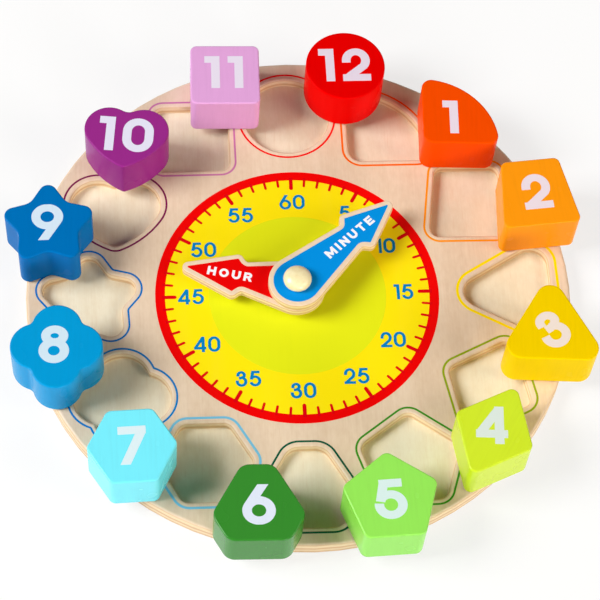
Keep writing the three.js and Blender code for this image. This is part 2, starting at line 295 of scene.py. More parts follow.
@dataclass(frozen=True)
class Plywood(Finish):
    """Pale birch plywood under satin lacquer, with its layers showing on cut edges."""

    pale: Colour = srgb(240, 218, 194)
    dark: Colour = srgb(222, 194, 164)
    edge_pale: Colour = srgb(242, 218, 182)
    edge_dark: Colour = srgb(219, 180, 136)
    bottom: float = 0.0
    top: float = 1.0
    layers: int = 3
    contrast: float = 0.75
    gain: float = 2.4
    fibres: Grain = Grain((1500, 60, 1500), 3, 0.6, 0.22)
    flecks: Grain = Grain((520, 240, 520), 3, 0.6, 0.33)
    bands: Grain = Grain((130, 6, 130), 3, 0.55, 0.25)
    clouds: Grain = Grain((22, 14, 22), 2, share=0.2)
    pores: Grain = Grain((2100, 130, 2100), 1, share=0.22)
    waves: Grain = Grain((160, 160, 0), 2, share=0.05)
    streaks: Grain = Grain((500, 500, 2600), 2, share=0.5)
    streak_floor: float = 0.35
    pore_step: SoftStep = SoftStep(0.66, 0.08)
    level_step: SoftStep = SoftStep(0.55, 0.3)
    layer_step: SoftStep = SoftStep(0.42, 0.2)
    roughness: float = 0.42
    roughness_swing: float = 0.12
    gloss: float = 0.2
    lacquer: float = 0.05
    lacquer_roughness: float = 0.3
    relief: Relief = Relief(0.03, 0.5)

    def surface(self, graph: Graph) -> Wire:
        """Builds long straight grain on the faces and layers on the edges.

        Args:
            graph: The material's node tree.

        Returns:
            The surface's shader.
        """
        fibres = graph.noise(self.fibres)
        mixed = (fibres * self.fibres.share + graph.share_of(self.flecks)
                 + graph.share_of(self.bands) + graph.share_of(self.clouds))
        tone = (mixed - NOISE_MIDDLE) * (self.gain * self.contrast) + NOISE_MIDDLE
        colour = graph.mix(tone.above(EVEN_STEP), self.pale, self.dark)
        pores = graph.noise(self.pores).above(self.pore_step)
        colour = graph.mix(pores * (self.pores.share * self.contrast), colour, self.edge_dark)
        colour = graph.mix(self.edge_mask(graph), colour, self.edge_colour(graph))
        return graph.node("BsdfPrincipled", None, {
            "Base Color": colour,
            "Roughness": graph.varied(fibres, self.roughness, self.roughness_swing),
            "Specular IOR Level": self.gloss,
            "Coat Weight": self.lacquer,
            "Coat Roughness": self.lacquer_roughness,
            "Normal": graph.bump(fibres, self.relief),
        })

    def edge_mask(self, graph: Graph) -> Wire:
        """Is 1 on walls and 0 on level faces."""
        return 1 - graph.maths("ABSOLUTE", graph.axis("Normal", "Z"), 0.0).above(self.level_step)

    def edge_colour(self, graph: Graph) -> Wire:
        """Colours the layers, every second one across the grain and darker.

        Args:
            graph: The material's node tree.

        Returns:
            The colour.
        """
        span = (self.top - self.bottom) * METRES_PER_MM
        share = (graph.axis("Object", "Z") - self.bottom * METRES_PER_MM) * (1 / span)
        share = share + (graph.noise(self.waves) - NOISE_MIDDLE) * self.waves.share
        layer = graph.maths("PINGPONG", share * self.layers, 1.0)
        colour = graph.mix(layer.above(self.layer_step), self.edge_pale, self.edge_dark)
        streaks = (graph.noise(self.streaks) - self.streak_floor) * self.streaks.share
        return graph.mix(streaks, colour, self.edge_dark)


class Gloss(Enum):
    """How much the paint of a block shines."""

    DULL = 0.02
    SATIN = 0.08
    GLOSSY = 0.33


@dataclass(frozen=True)
class Paint(Finish):
    """Paint on solid wood, thin enough to show a trace of the grain."""

    colour: Colour
    gloss: Gloss
    shade: float = 0.86
    tone_middle: float = 0.25
    streaks: Grain = Grain((900, 60, 60), 3, 0.6, 0.7)
    clouds: Grain = Grain((60, 60, 60), 2, share=0.5)
    streak_height: float = 0.6
    roughness: float = 0.26
    roughness_swing: float = 0.12
    relief: Relief = Relief(0.05, 0.25)

    def surface(self, graph: Graph) -> Wire:
        """Builds an even colour with faint streaks along the block's height and length.

        Args:
            graph: The material's node tree.

        Returns:
            The surface's shader.
        """
        streaks = graph.noise(self.streaks)
        clouds = graph.noise(self.clouds)
        darker = tuple(self.shade * share for share in self.colour[:3]) + (1.0,)
        tone = ((streaks - NOISE_MIDDLE) * self.streaks.share
                + (clouds - NOISE_MIDDLE) * self.clouds.share + self.tone_middle)
        height = streaks * self.streak_height + clouds * (1 - self.streak_height)
        return graph.node("BsdfPrincipled", None, {
            "Base Color": graph.mix(tone.above(EVEN_STEP), self.colour, darker),
            "Roughness": graph.varied(clouds, self.roughness, self.roughness_swing),
            "Specular IOR Level": self.gloss.value,
            "Normal": graph.bump(height, self.relief),
        })


@dataclass(frozen=True)
class Ink(Finish):
    """Screen-printed ink that lets a little of what is below it show."""

    colour: Colour
    below: Colour
    show: float = 0.12
    fibres: Grain = Grain((1700, 60, 1700), 3, 0.6, 0.8)
    bands: Grain = Grain((150, 7, 150), 2, share=0.8)
    thin_from: float = 0.45
    gloss: float = 0.1
    roughness: float = 0.38
    roughness_swing: float = 0.1
    relief: Relief = Relief(0.02, 0.4)

    def surface(self, graph: Graph) -> Wire:
        """Builds an even ink with the grain showing through faintly.

        Args:
            graph: The material's node tree.

        Returns:
            The surface's shader.
        """
        fibres = graph.noise(self.fibres)
        thin = ((fibres - self.thin_from) * self.fibres.share
                + (graph.noise(self.bands) - self.thin_from) * self.bands.share)
        return graph.node("BsdfPrincipled", None, {
            "Base Color": graph.mix(thin.above(EVEN_STEP) * self.show, self.colour, self.below),
            "Roughness": graph.varied(fibres, self.roughness, self.roughness_swing),
            "Specular IOR Level": self.gloss,
            "Normal": graph.bump(fibres, self.relief),
        })


@dataclass(frozen=True)
class TurnedWood(Finish):
    """A lathe-turned pin of cream wood with soft end grain."""

    pale: Colour = srgb(250, 238, 192)
    dark: Colour = srgb(236, 214, 154)
    grain: Grain = Grain((420, 420, 160), 3, 0.6, 0.6)
    clouds: Grain = Grain((160, 160, 160), 2, share=0.4)
    tone_step: SoftStep = SoftStep(0.3, 0.45)
    roughness: float = 0.33
    roughness_swing: float = 0.1
    polish: float = 0.3
    polish_roughness: float = 0.15
    relief: Relief = Relief(0.04, 0.3)

    def surface(self, graph: Graph) -> Wire:
        """Builds the soft end grain under a polish.

        Args:
            graph: The material's node tree.

        Returns:
            The surface's shader.
        """
        grain = graph.noise(self.grain)
        tone = (grain * self.grain.share + graph.share_of(self.clouds)).above(self.tone_step)
        return graph.node("BsdfPrincipled", None, {
            "Base Color": graph.mix(tone, self.pale, self.dark),
            "Roughness": graph.varied(grain, self.roughness, self.roughness_swing),
            "Coat Weight": self.polish,
            "Coat Roughness": self.polish_roughness,
            "Normal": graph.bump(grain, self.relief),
        })


@dataclass(frozen=True)
class PaleFloor(Finish):
    """A white floor that the camera sees as plain paper, with the soft shadow kept."""

    colour: Colour = srgb(250, 250, 250)
    bounce: Colour = srgb(222, 222, 222)
    glow: float = 0.74

    def surface(self, graph: Graph) -> Wire:
        """Builds a matt white that is lifted towards white where the camera looks.

        Args:
            graph: The material's node tree.

        Returns:
            The surface's shader.
        """
        seen = graph.sees_background()
        matt = graph.node("BsdfDiffuse", None, {
            "Color": graph.mix(seen, self.bounce, self.colour)})
        white = graph.node("Emission", None, {"Color": WHITE, "Strength": 1.0})
        return graph.node("MixShader", None, {0: seen * self.glow, 1: matt, 2: white})


@dataclass(frozen=True)
class Arc:
    """A round stretch of an outline; a turn of 1 bulges outwards and -1 curves inwards."""

    x: float
    y: float
    radius: float
    start: float
    end: float
    turn: int = 1

    def at(self, radius: float, angle: float) -> Vector:
        """Gives the point at an angle, on a circle of this arc's middle."""
        return Vector((self.x + radius * math.cos(angle), self.y + radius * math.sin(angle)))

    def scaled(self, size: float) -> "Arc":
        """Gives the same arc at another size."""
        return Arc(self.x * size, self.y * size, self.radius * size,
                   self.start, self.end, self.turn)


@dataclass(frozen=True)
class Outline:
    """A closed outline of arcs, met in turn anticlockwise and joined by straight lines."""

    arcs: tuple[Arc, ...]

    STEP = math.radians(5)
    FEWEST_STEPS = 4
    CLOSE = 0.001

    def points(self, grow: float = 0.0) -> list[Vector]:
        """Gives the outline's points, evenly grown or shrunk.

        Args:
            grow: How far each point moves outwards.

        Returns:
            The points, anticlockwise.
        """
        found = []
        for number, arc in enumerate(self.arcs):
            before = self.arcs[number - 1]
            start = arc.at(arc.radius, arc.start)
            touches = (start - before.at(before.radius, before.end)).length < self.CLOSE
            steps = max(self.FEWEST_STEPS, round(abs(arc.end - arc.start) / self.STEP))
            radius = arc.radius + arc.turn * grow
            for step in range(1 if touches else 0, steps + 1):
                found.append(arc.at(radius, arc.start + (arc.end - arc.start) * step / steps))
        return found

    def scaled(self, size: float) -> "Outline":
        """Gives the same outline at another size."""
        return Outline(tuple(arc.scaled(size) for arc in self.arcs))


def disc(radius: float) -> Outline:
    """Gives a round outline in four equal arcs."""
    quarter = math.pi / 2
    return Outline(tuple(Arc(0, 0, radius, i * quarter, (i + 1) * quarter) for i in range(4)))


def arc_corner(before: Vector, at: Vector, after: Vector, radius: float) -> Arc:
    """Rounds one corner of a polygon.

    Args:
        before: The corner before it.
        at: The corner itself.
        after: The corner after it.
        radius: How round it is.

    Returns:
        The arc that touches both sides.
    """
    one = (before - at).normalized()
    two = (after - at).normalized()
    half = math.acos(max(-1.0, min(1.0, one.dot(two)))) / 2
    middle = (one + two).normalized()
    turn = 1 if one.cross(two) < 0 else -1
    centre = at + middle * (radius / math.sin(half))
    sweep = math.pi - 2 * half
    back = math.atan2(-middle.y, -middle.x)
    return Arc(centre.x, centre.y, radius, back - turn * sweep / 2, back + turn * sweep / 2, turn)


def rounded(corners: Sequence[Point], radii: Sequence[float]) -> Outline:
    """Rounds every corner of a polygon.

    Args:
        corners: The corners, anticlockwise.
        radii: The corners' radii, taken in turn and again from the first.

    Returns:
        The rounded outline.
    """
    spots = [Vector(corner) for corner in corners]
    count = len(spots)
    return Outline(tuple(
        arc_corner(spots[i - 1], spots[i], spots[(i + 1) % count], radii[i % len(radii)])
        for i in range(count)))


def ring_corners(count: int, first: float, reaches: Sequence[float]) -> list[Point]:
    """Places corners evenly round a circle.

    Args:
        count: How many corners there are.
        first: The first corner's angle.
        reaches: The corners' distances from the middle, taken in turn.

    Returns:
        The corners.
    """
    found = []
    for i in range(count):
        angle = first + 2 * math.pi * i / count
        reach = reaches[i % len(reaches)]
        found.append((reach * math.cos(angle), reach * math.sin(angle)))
    return found


class Shape:
    """The blocks' outlines, each as shares of the width that a round block would have."""

    LOBE = 0.2973
    LOBE_NOTCH = 0.0928
    LOBE_REACH = 0.2480

    @staticmethod
    def circle() -> Outline:
        """The round block."""
        return disc(0.5004)

    @staticmethod
    def quarter() -> Outline:
        """A quarter of a disc with rounded corners.

        Returns:
            The outline.
        """
        radius, corner, middle = 0.9457, 0.1276, 0.3972
        inner = radius - corner
        far = math.sqrt(inner * inner - corner * corner)
        tilt = math.atan2(corner, far)
        near = corner - middle
        turn = math.pi / 2
        return Outline((
            Arc(far - middle, near, corner, -turn, tilt),
            Arc(-middle, -middle, radius, tilt, turn - tilt),
            Arc(near, far - middle, corner, turn - tilt, 2 * turn),
            Arc(near, near, corner, 2 * turn, 3 * turn)))

    @staticmethod
    def level_sided(bottom: float, top: float, height: float, corner: float) -> Outline:
        """A shape with level top and bottom sides."""
        return rounded([(-bottom / 2, -height / 2), (bottom / 2, -height / 2),
                        (top / 2, height / 2), (-top / 2, height / 2)], [corner])

    @staticmethod
    def trapezoid() -> Outline:
        """The trapezoid, wider below."""
        return Shape.level_sided(bottom=0.9747, top=0.7223, height=0.9312, corner=0.0812)

    @staticmethod
    def square() -> Outline:
        """The square block."""
        return Shape.level_sided(bottom=0.8644, top=0.8644, height=0.8644, corner=0.0812)

    @staticmethod
    def regular(sides: int, inradius: float, corner: float, first: float) -> Outline:
        """A regular shape with rounded corners, the first one at an angle."""
        reach = inradius / math.cos(math.pi / sides)
        return rounded(ring_corners(sides, first, [reach]), [corner])

    @staticmethod
    def triangle() -> Outline:
        """The triangle, point up."""
        return Shape.regular(sides=3, inradius=0.3931, corner=0.1769, first=math.pi / 2)

    @staticmethod
    def pentagon() -> Outline:
        """The pentagon, point up."""
        return Shape.regular(sides=5, inradius=0.4743, corner=0.0986, first=math.pi / 2)

    @staticmethod
    def hexagon() -> Outline:
        """The hexagon, with points left and right."""
        return Shape.regular(sides=6, inradius=0.4598, corner=0.0928, first=0.0)

    @staticmethod
    def rhombus() -> Outline:
        """The rhombus, taller than wide."""
        wide, tall, corner = 1.0066 / 2, 1.2938 / 2, 0.0899
        return rounded([(wide, 0), (0, tall), (-wide, 0), (0, -tall)], [corner])

    @staticmethod
    def clipped_triangle() -> Outline:
        """A triangle with its corners cut off, so near and far sides take turns.

        Returns:
            The outline.
        """
        near, far, corner = 0.4221, 0.5207, 0.1624
        sides = []
        for i in range(6):
            angle = -math.pi / 2 + i * math.pi / 3
            sides.append((math.cos(angle), math.sin(angle), far if i % 2 else near))
        corners = []
        for i, (ax, ay, a_reach) in enumerate(sides):
            bx, by, b_reach = sides[(i + 1) % len(sides)]
            det = ax * by - ay * bx
            corners.append(((a_reach * by - b_reach * ay) / det,
                            (ax * b_reach - bx * a_reach) / det))
        return rounded(corners, [corner])

    @staticmethod
    def quatrefoil(lobe: float = LOBE, notch: float = LOBE_NOTCH) -> Outline:
        """Four round lobes with soft notches between them.

        Args:
            lobe: The radius of a lobe.
            notch: The radius of a notch.

        Returns:
            The outline.
        """
        reach = Shape.LOBE_REACH
        spread = lobe + notch
        diagonal = (math.sqrt(2) * reach
                    + math.sqrt(4 * spread * spread - 2 * reach * reach)) / 2
        arcs = []
        for i in range(4):
            angle = i * math.pi / 2
            gap = angle + math.pi / 4
            out = Vector((math.cos(angle), math.sin(angle))) * reach
            dip = Vector((math.cos(gap), math.sin(gap))) * diagonal
            away = dip - out
            half = (math.atan2(away.y, away.x) - angle) % (2 * math.pi)
            swing = half - math.pi / 4
            inward = gap + math.pi
            arcs.append(Arc(out.x, out.y, lobe, angle - half, angle + half))
            arcs.append(Arc(dip.x, dip.y, notch, inward + swing, inward - swing, -1))
        return Outline(tuple(arcs))

    @staticmethod
    def star() -> Outline:
        """The star, point up, its inner corners softer than its points.

        Returns:
            The outline.
        """
        point_reach, dip_reach = 0.6454, 0.3728
        point_round, dip_round = 0.1102, 0.1711
        corners = ring_corners(10, math.pi / 2, [point_reach, dip_reach])
        return rounded(corners, [point_round, dip_round])

    @staticmethod
    def heart() -> Outline:
        """Two round lobes, long bulging sides, a round tip and a soft notch.

        Returns:
            The outline.
        """
        rise, apart = 0.4873, 0.2147
        lobe, side, tip, notch = 0.3075, 1.0153, 0.0609, 0.1566
        lobe_at = Vector((apart, rise / 2))
        tip_at = Vector((0, -rise / 2))
        to_lobe, to_tip = side - lobe, side - tip
        span = (lobe_at - tip_at).length
        along = (to_tip * to_tip - to_lobe * to_lobe + span * span) / (2 * span)
        across = math.sqrt(to_tip * to_tip - along * along)
        ex = (lobe_at - tip_at).normalized()
        side_at = tip_at + ex * along + Vector((-ex.y, ex.x)) * across
        low = math.atan2(tip_at.y - side_at.y, tip_at.x - side_at.x)
        high = math.atan2(lobe_at.y - side_at.y, lobe_at.x - side_at.x)
        meet = lobe + notch
        notch_y = lobe_at.y + math.sqrt(meet * meet - lobe_at.x * lobe_at.x)
        top = math.atan2(notch_y - lobe_at.y, -lobe_at.x)
        right = math.atan2(lobe_at.y - notch_y, lobe_at.x)
        half = math.pi
        return Outline((
            Arc(side_at.x, side_at.y, side, low, high),
            Arc(lobe_at.x, lobe_at.y, lobe, high, top),
            Arc(0, notch_y, notch, right, -half - right, -1),
            Arc(-lobe_at.x, lobe_at.y, lobe, half - top, half - high),
            Arc(-side_at.x, side_at.y, side, half - high, half - low),
            Arc(tip_at.x, tip_at.y, tip, -half - low, low)))


@dataclass(frozen=True)
class Step:
    """One level of a solid's wall: how far the outline has grown there, and how high it is."""

    grow: float
    z: float


class Profile:
    """Walls of flat pieces, with rounded edges where they are eased.

    The hold is a narrow upright band beside each edge, which keeps a wall's shading even.
    """

    ROUND_STEPS = 6
    HOLD = 0.12

    @classmethod
    def wall(cls, bottom: float, top: float, low: float, high: float,
             side: int = 1, grow: float = 0.0) -> list[Step]:
        """Makes a straight wall with an eased edge below and above.

        Args:
            bottom: The lowest level.
            top: The highest level.
            low: How far the lower edge is rounded, or 0.
            high: How far the upper edge is rounded, or 0.
            side: 1 for an outer wall and -1 for the wall of a hole.
            grow: How far the whole wall is moved outwards.

        Returns:
            The levels, from the bottom upwards.
        """
        steps = []
        quarter = [math.pi / 2 * i / cls.ROUND_STEPS for i in range(cls.ROUND_STEPS + 1)]
        if low > 0:
            steps += [Step(grow - side * low * (1 - math.sin(a)),
                           bottom + low * (1 - math.cos(a))) for a in quarter]
        else:
            steps.append(Step(grow, bottom))
        steps.append(Step(grow, bottom + low + cls.HOLD))
        steps.append(Step(grow, top - high - cls.HOLD))
        if high > 0:
            steps += [Step(grow - side * high * (1 - math.cos(a)),
                           top - high * (1 - math.sin(a))) for a in quarter]
        else:
            steps.append(Step(grow, top))
        return steps


@dataclass(frozen=True)
class Contour:
    """One closed wall of a solid: its outline, its levels and where it lies."""

    outline: Outline
    steps: Sequence[Step]
    place: Matrix = field(default_factory=lambda: Matrix.Identity(3))

    def rings(self) -> list[list[Vector]]:
        """Gives the wall's points, one ring for each level.

        Returns:
            The rings, from the bottom upwards.
        """
        found = []
        for step in self.steps:
            ring = []
            for spot in self.outline.points(step.grow):
                moved = self.place @ Vector((spot.x, spot.y, 1))
                ring.append(Vector((moved.x, moved.y, step.z)))
            found.append(ring)
        return found


def move(x: float, y: float, turn: float) -> Matrix:
    """Makes a move on the board: a turn about +Z, in radians, and then a shift."""
    cos, sin = math.cos(turn), math.sin(turn)
    return Matrix(((cos, -sin, x), (sin, cos, y), (0, 0, 1)))


FILL_INSIDE_ONLY = 1
FILL_CLOSE = 1e-5
KEY_DIGITS = 4


def fill(polygons: Sequence[Sequence[Vector]], holes: int = 0) -> tuple[list, list]:
    """Fills the union of flat polygons with triangles.

    Args:
        polygons: The polygons, anticlockwise; the holes come last.
        holes: How many of them are holes.

    Returns:
        The flat points, and the triangles as numbers of points.
    """
    points = []
    faces = []
    for polygon in polygons:
        faces.append(list(range(len(points), len(points) + len(polygon))))
        points += [Vector((spot.x, spot.y)) for spot in polygon]
    spots, _, triangles, _, _, sources = delaunay_2d_cdt(
        points, [], faces, FILL_INSIDE_ONLY, FILL_CLOSE)
    solid = len(polygons) - holes
    kept = [
        triangle for triangle, source in zip(triangles, sources)
        if source and all(number < solid for number in source)]
    return spots, kept


def make_object(name: str, points: Sequence[Sequence[float]], faces: Sequence[Sequence[int]],
                flat: Sequence[bool]) -> bpy.types.Object:
    """Makes a mesh object from points in millimetres.

    Args:
        name: The piece's name.
        points: The points.
        faces: The faces, each as numbers of points.
        flat: Whether each face is shaded flat.

    Returns:
        The object, linked to the scene.
    """
    mesh = bpy.data.meshes.new(name)
    scaled = [tuple(value * METRES_PER_MM for value in point) for point in points]
    mesh.from_pydata(scaled, [], faces)
    for polygon, is_flat in zip(mesh.polygons, flat):
        polygon.use_smooth = not is_flat
    mesh.validate()
    made = bpy.data.objects.new(name, mesh)
    bpy.context.scene.collection.objects.link(made)
    return made


def plate(name: str, contours: Sequence[Contour]) -> bpy.types.Object:
    """Makes a flat solid: the first contour is its outside and the others are holes.

    Args:
        name: The piece's name.
        contours: The walls.

    Returns:
        The solid's object.
    """
    points: list[Vector] = []
    faces: list[list[int]] = []
    flat: list[bool] = []
    lows, highs = [], []
    for number, contour in enumerate(contours):
        rings = contour.rings()
        count = len(rings[0])
        base = len(points)
        for ring in rings:
            points += ring
        for level in range(len(rings) - 1):
            for i in range(count):
                a = base + level * count + i
                b = base + level * count + (i + 1) % count
                quad = [a, b, b + count, a + count]
                faces.append(quad if number == 0 else quad[::-1])
                flat.append(False)
        lows.append(list(range(base, base + count)))
        highs.append(list(range(len(points) - count, len(points))))
    for loops, up in ((lows, False), (highs, True)):
        for face in cap(points, loops):
            faces.append(face if up else face[::-1])
            flat.append(True)
    return make_object(name, points, faces, flat)


def flat_key(spot: Vector) -> Point:
    """Gives a point's rounded X and Y, by which a filled point is found again."""
    return round(spot.x, KEY_DIGITS), round(spot.y, KEY_DIGITS)


def cap(points: Sequence[Vector], loops: Sequence[list[int]]) -> list[list[int]]:
    """Closes a level of a solid.

    Args:
        points: All the solid's points.
        loops: The level's loops, the outer one first and then the holes.

    Returns:
        The faces, facing up.
    """
    if len(loops) == 1:
        return [loops[0]]
    numbers = {flat_key(points[number]): number for loop in loops for number in loop}
    spots, triangles = fill([[points[n] for n in loop] for loop in loops], len(loops) - 1)
    return [[numbers[flat_key(spots[i])] for i in triangle] for triangle in triangles]


TURNED_SEGMENTS = 72
TURNED_SHARP_ANGLE = math.radians(35)


def turned(name: str, profile: Sequence[Point]) -> bpy.types.Object:
    """Makes a turned solid about the Z axis.

    Args:
        name: The piece's name.
        profile: Radius and height, from the axis below to the axis above.

    Returns:
        The solid's object.
    """
    segments = TURNED_SEGMENTS
    inner = profile[1:-1]
    points = [(0.0, 0.0, profile[0][1])]
    for radius, z in inner:
        for i in range(segments):
            angle = 2 * math.pi * i / segments
            points.append((radius * math.cos(angle), radius * math.sin(angle), z))
    points.append((0.0, 0.0, profile[-1][1]))
    last = len(points) - 1
    faces = []
    for i in range(segments):
        j = (i + 1) % segments
        faces.append([0, 1 + j, 1 + i])
        for level in range(len(inner) - 1):
            a = 1 + level * segments
            faces.append([a + i, a + j, a + segments + j, a + segments + i])
        top = 1 + (len(inner) - 1) * segments
        faces.append([top + i, top + j, last])
    made = make_object(name, points, faces, [False] * len(faces))
    made.data.set_sharp_from_angle(angle=TURNED_SHARP_ANGLE)
    return made


def slab(name: str, polygons: Sequence[Sequence[Vector]], bottom: float,
         top: float) -> bpy.types.Object:
    """Makes a thin printed layer from overlapping flat polygons.

    Args:
        name: The piece's name.
        polygons: The shapes that are printed, anticlockwise.
        bottom: The layer's underside, sunk a little into what it is printed on.
        top: The layer's face.

    Returns:
        The layer's object.
    """
    spots, triangles = fill(polygons)
    count = len(spots)
    points = [(spot.x, spot.y, bottom) for spot in spots]
    points += [(spot.x, spot.y, top) for spot in spots]
    faces = [[i + count for i in triangle] for triangle in triangles]
    faces += [list(triangle)[::-1] for triangle in triangles]
    edges = dict.fromkeys(
        (start, triangle[(i + 1) % len(triangle)])
        for triangle in triangles for i, start in enumerate(triangle))
    faces += [[start, end, end + count, start + count]
              for start, end in edges if (end, start) not in edges]
    return make_object(name, points, faces, [True] * len(faces))


class Cut(Enum):
    """How a stroke of a printed sign ends."""

    FLUSH = 0.0
    SQUARE = 0.5
    LONG = 1.5


@dataclass(frozen=True)
class Bend:
    """A round stretch of a pen stroke, part of an upright ellipse, in degrees."""

    x: float
    y: float
    rx: float
    ry: float
    start: float
    end: float

    STEP = 9
    FEWEST_STEPS = 3

    def points(self) -> list[Point]:
        """Gives points along the bend.

        Returns:
            The points, from its start to its end.
        """
        count = max(self.FEWEST_STEPS, round(abs(self.end - self.start) / self.STEP))
        found = []
        for i in range(count + 1):
            angle = math.radians(self.start + (self.end - self.start) * i / count)
            found.append((self.x + self.rx * math.cos(angle), self.y + self.ry * math.sin(angle)))
        return found


@dataclass(frozen=True)
class Stroke:
    """A pen stroke along points and bends, cut off at the sign's box or within an upright."""

    path: tuple[Union[Point, Bend], ...]
    start: Cut = Cut.FLUSH
    end: Cut = Cut.FLUSH
    closed: bool = False
    within: Optional[float] = None

    SAME_SPOT = 1e-6

    def centreline(self) -> list[Vector]:
        """Gives the stroke's centreline.

        Returns:
            The points, as shares of the sign's height.
        """
        found: list[Vector] = []
        for item in self.path:
            for spot in (item.points() if isinstance(item, Bend) else [item]):
                here = Vector(spot)
                if not found or (here - found[-1]).length > self.SAME_SPOT:
                    found.append(here)
        if self.closed and (found[0] - found[-1]).length < self.SAME_SPOT:
            found.pop()
        return found


SHARPEST_LEAN = 0.5


def ribbon(line: Sequence[Vector], width: float, closed: bool) -> list[list[Vector]]:
    """Gives the quads of an even band along a line.

    Args:
        line: The band's centreline.
        width: Its width.
        closed: Whether it runs back to its start.

    Returns:
        The quads, anticlockwise.
    """
    count = len(line)
    sides = []
    for i, here in enumerate(line):
        before = line[i - 1] if closed or i > 0 else None
        after = line[(i + 1) % count] if closed or i < count - 1 else None
        one = (here - before).normalized() if before is not None else None
        two = (after - here).normalized() if after is not None else None
        ahead = ((one or two) + (two or one)).normalized()
        lean = ahead.dot(two or one)
        across = Vector((-ahead.y, ahead.x)) * (width / 2 / max(lean, SHARPEST_LEAN))
        sides.append((here + across, here - across))
    pairs = range(count if closed else count - 1)
    return [[sides[i][1], sides[(i + 1) % count][1], sides[(i + 1) % count][0], sides[i][0]]
            for i in pairs]


def clipped(polygon: Sequence[Vector], axis: int, limit: float, keep: int) -> list[Vector]:
    """Cuts a convex polygon with an upright or level line.

    Args:
        polygon: The polygon.
        axis: 0 for an upright line and 1 for a level one.
        limit: Where the line lies.
        keep: 1 to keep what is above or right of it, and -1 for the other side.

    Returns:
        What is left of the polygon.
    """
    found = []
    for i, here in enumerate(polygon):
        there = polygon[(i + 1) % len(polygon)]
        a = (here[axis] - limit) * keep
        b = (there[axis] - limit) * keep
        if a >= 0:
            found.append(here)
        if (a > 0 > b) or (a < 0 < b):
            found.append(here + (there - here) * (a / (a - b)))
    return found


@dataclass(frozen=True)
class Sign:
    """A printed number or letter, drawn in a box that is one unit high between centrelines."""

    width: float
    strokes: tuple[Stroke, ...]

    def span(self, pen: "Pen") -> float:
        """Gives the sign's full width in millimetres."""
        return self.width * pen.unit + pen.stroke

    def polygons(self, pen: "Pen", left: float) -> list[list[Vector]]:
        """Draws the sign with its lower left corner at a place on the line.

        Args:
            pen: The pen and height that it is drawn with.
            left: Where its left side is.

        Returns:
            The quads of its strokes.
        """
        found = []
        half = pen.stroke / 2
        span = self.span(pen)
        squash = Matrix.Diagonal((1.0, pen.level_share))
        for stroke in self.strokes:
            line = [Vector((half + spot.x * pen.unit, half + spot.y * pen.rise / pen.level_share))
                    for spot in stroke.centreline()]
            if not stroke.closed:
                head = (line[0] - line[1]).normalized()
                tail = (line[-1] - line[-2]).normalized()
                line[0] = line[0] + head * (stroke.start.value * pen.stroke)
                line[-1] = line[-1] + tail * (stroke.end.value * pen.stroke)
            right = span if stroke.within is None else stroke.within * pen.unit + pen.stroke
            for quad in ribbon(line, pen.stroke, stroke.closed):
                cut = clipped([squash @ spot for spot in quad], 0, 0.0, 1)
                cut = clipped(cut, 0, right, -1)
                cut = clipped(cut, 1, 0.0, 1)
                cut = clipped(cut, 1, pen.height, -1)
                if len(cut) > 2:
                    found.append([spot + Vector((left, 0)) for spot in cut])
        return found


@dataclass(frozen=True)
class Pen:
    """How a line of signs is drawn: its height, its stroke and the gap between signs.

    The slit is the angle, in degrees, at which the bowl of a five ends.
    """

    height: float
    stroke: float
    gap: float
    stretch: float = 1.0
    slit: float = 170.0
    level_share: float = 0.92

    @property
    def unit(self) -> float:
        """How long a width of one unit is."""
        return (self.height - self.stroke) * self.stretch

    @property
    def level_stroke(self) -> float:
        """The thickness of level strokes, a little less than that of upright ones."""
        return self.stroke * self.level_share

    @property
    def rise(self) -> float:
        """The height between the centrelines of the top and bottom strokes."""
        return self.height - self.level_stroke

    def sign(self, character: str) -> Sign:
        """Finds how a number or letter is drawn."""
        return five(self.slit) if character == "5" else SIGNS[character]

    def write(self, text: str, place: Matrix) -> list[list[Vector]]:
        """Draws a line of signs about its own middle.

        Args:
            text: The numbers or letters.
            place: Where the middle goes, and how the line is turned.

        Returns:
            The quads of all its strokes.
        """
        signs = [self.sign(character) for character in text]
        total = sum(sign.span(self) for sign in signs) + self.gap * (len(signs) - 1)
        left = -total / 2
        found = []
        for sign in signs:
            for polygon in sign.polygons(self, left):
                found.append([
                    (place @ Vector((spot.x, spot.y - self.height / 2, 1))).to_2d()
                    for spot in polygon])
            left += sign.span(self) + self.gap
        return found


def bar(*path: Union[Point, Bend], end: Cut = Cut.SQUARE) -> Stroke:
    """Makes an open stroke with squared ends."""
    return Stroke(tuple(path), Cut.SQUARE, end)


def flush(*path: Union[Point, Bend], end: Cut = Cut.FLUSH) -> Stroke:
    """Makes an open stroke that starts flush with its first point."""
    return Stroke(tuple(path), end=end)


def oval(x: float, y: float, rx: float, ry: float) -> Stroke:
    """Makes a closed oval stroke."""
    return Stroke((Bend(x, y, rx, ry, 0, 360),), closed=True)


def five(slit: float) -> Sign:
    """Draws a five whose bowl ends at an angle, in degrees."""
    return Sign(0.70, (
        bar((0.19, 1), (0.60, 1)),
        flush((0.19, 1), (0.045, 0.435)),
        flush(Bend(0.351, 0.324, 0.351, 0.324, 148, slit - 360))))


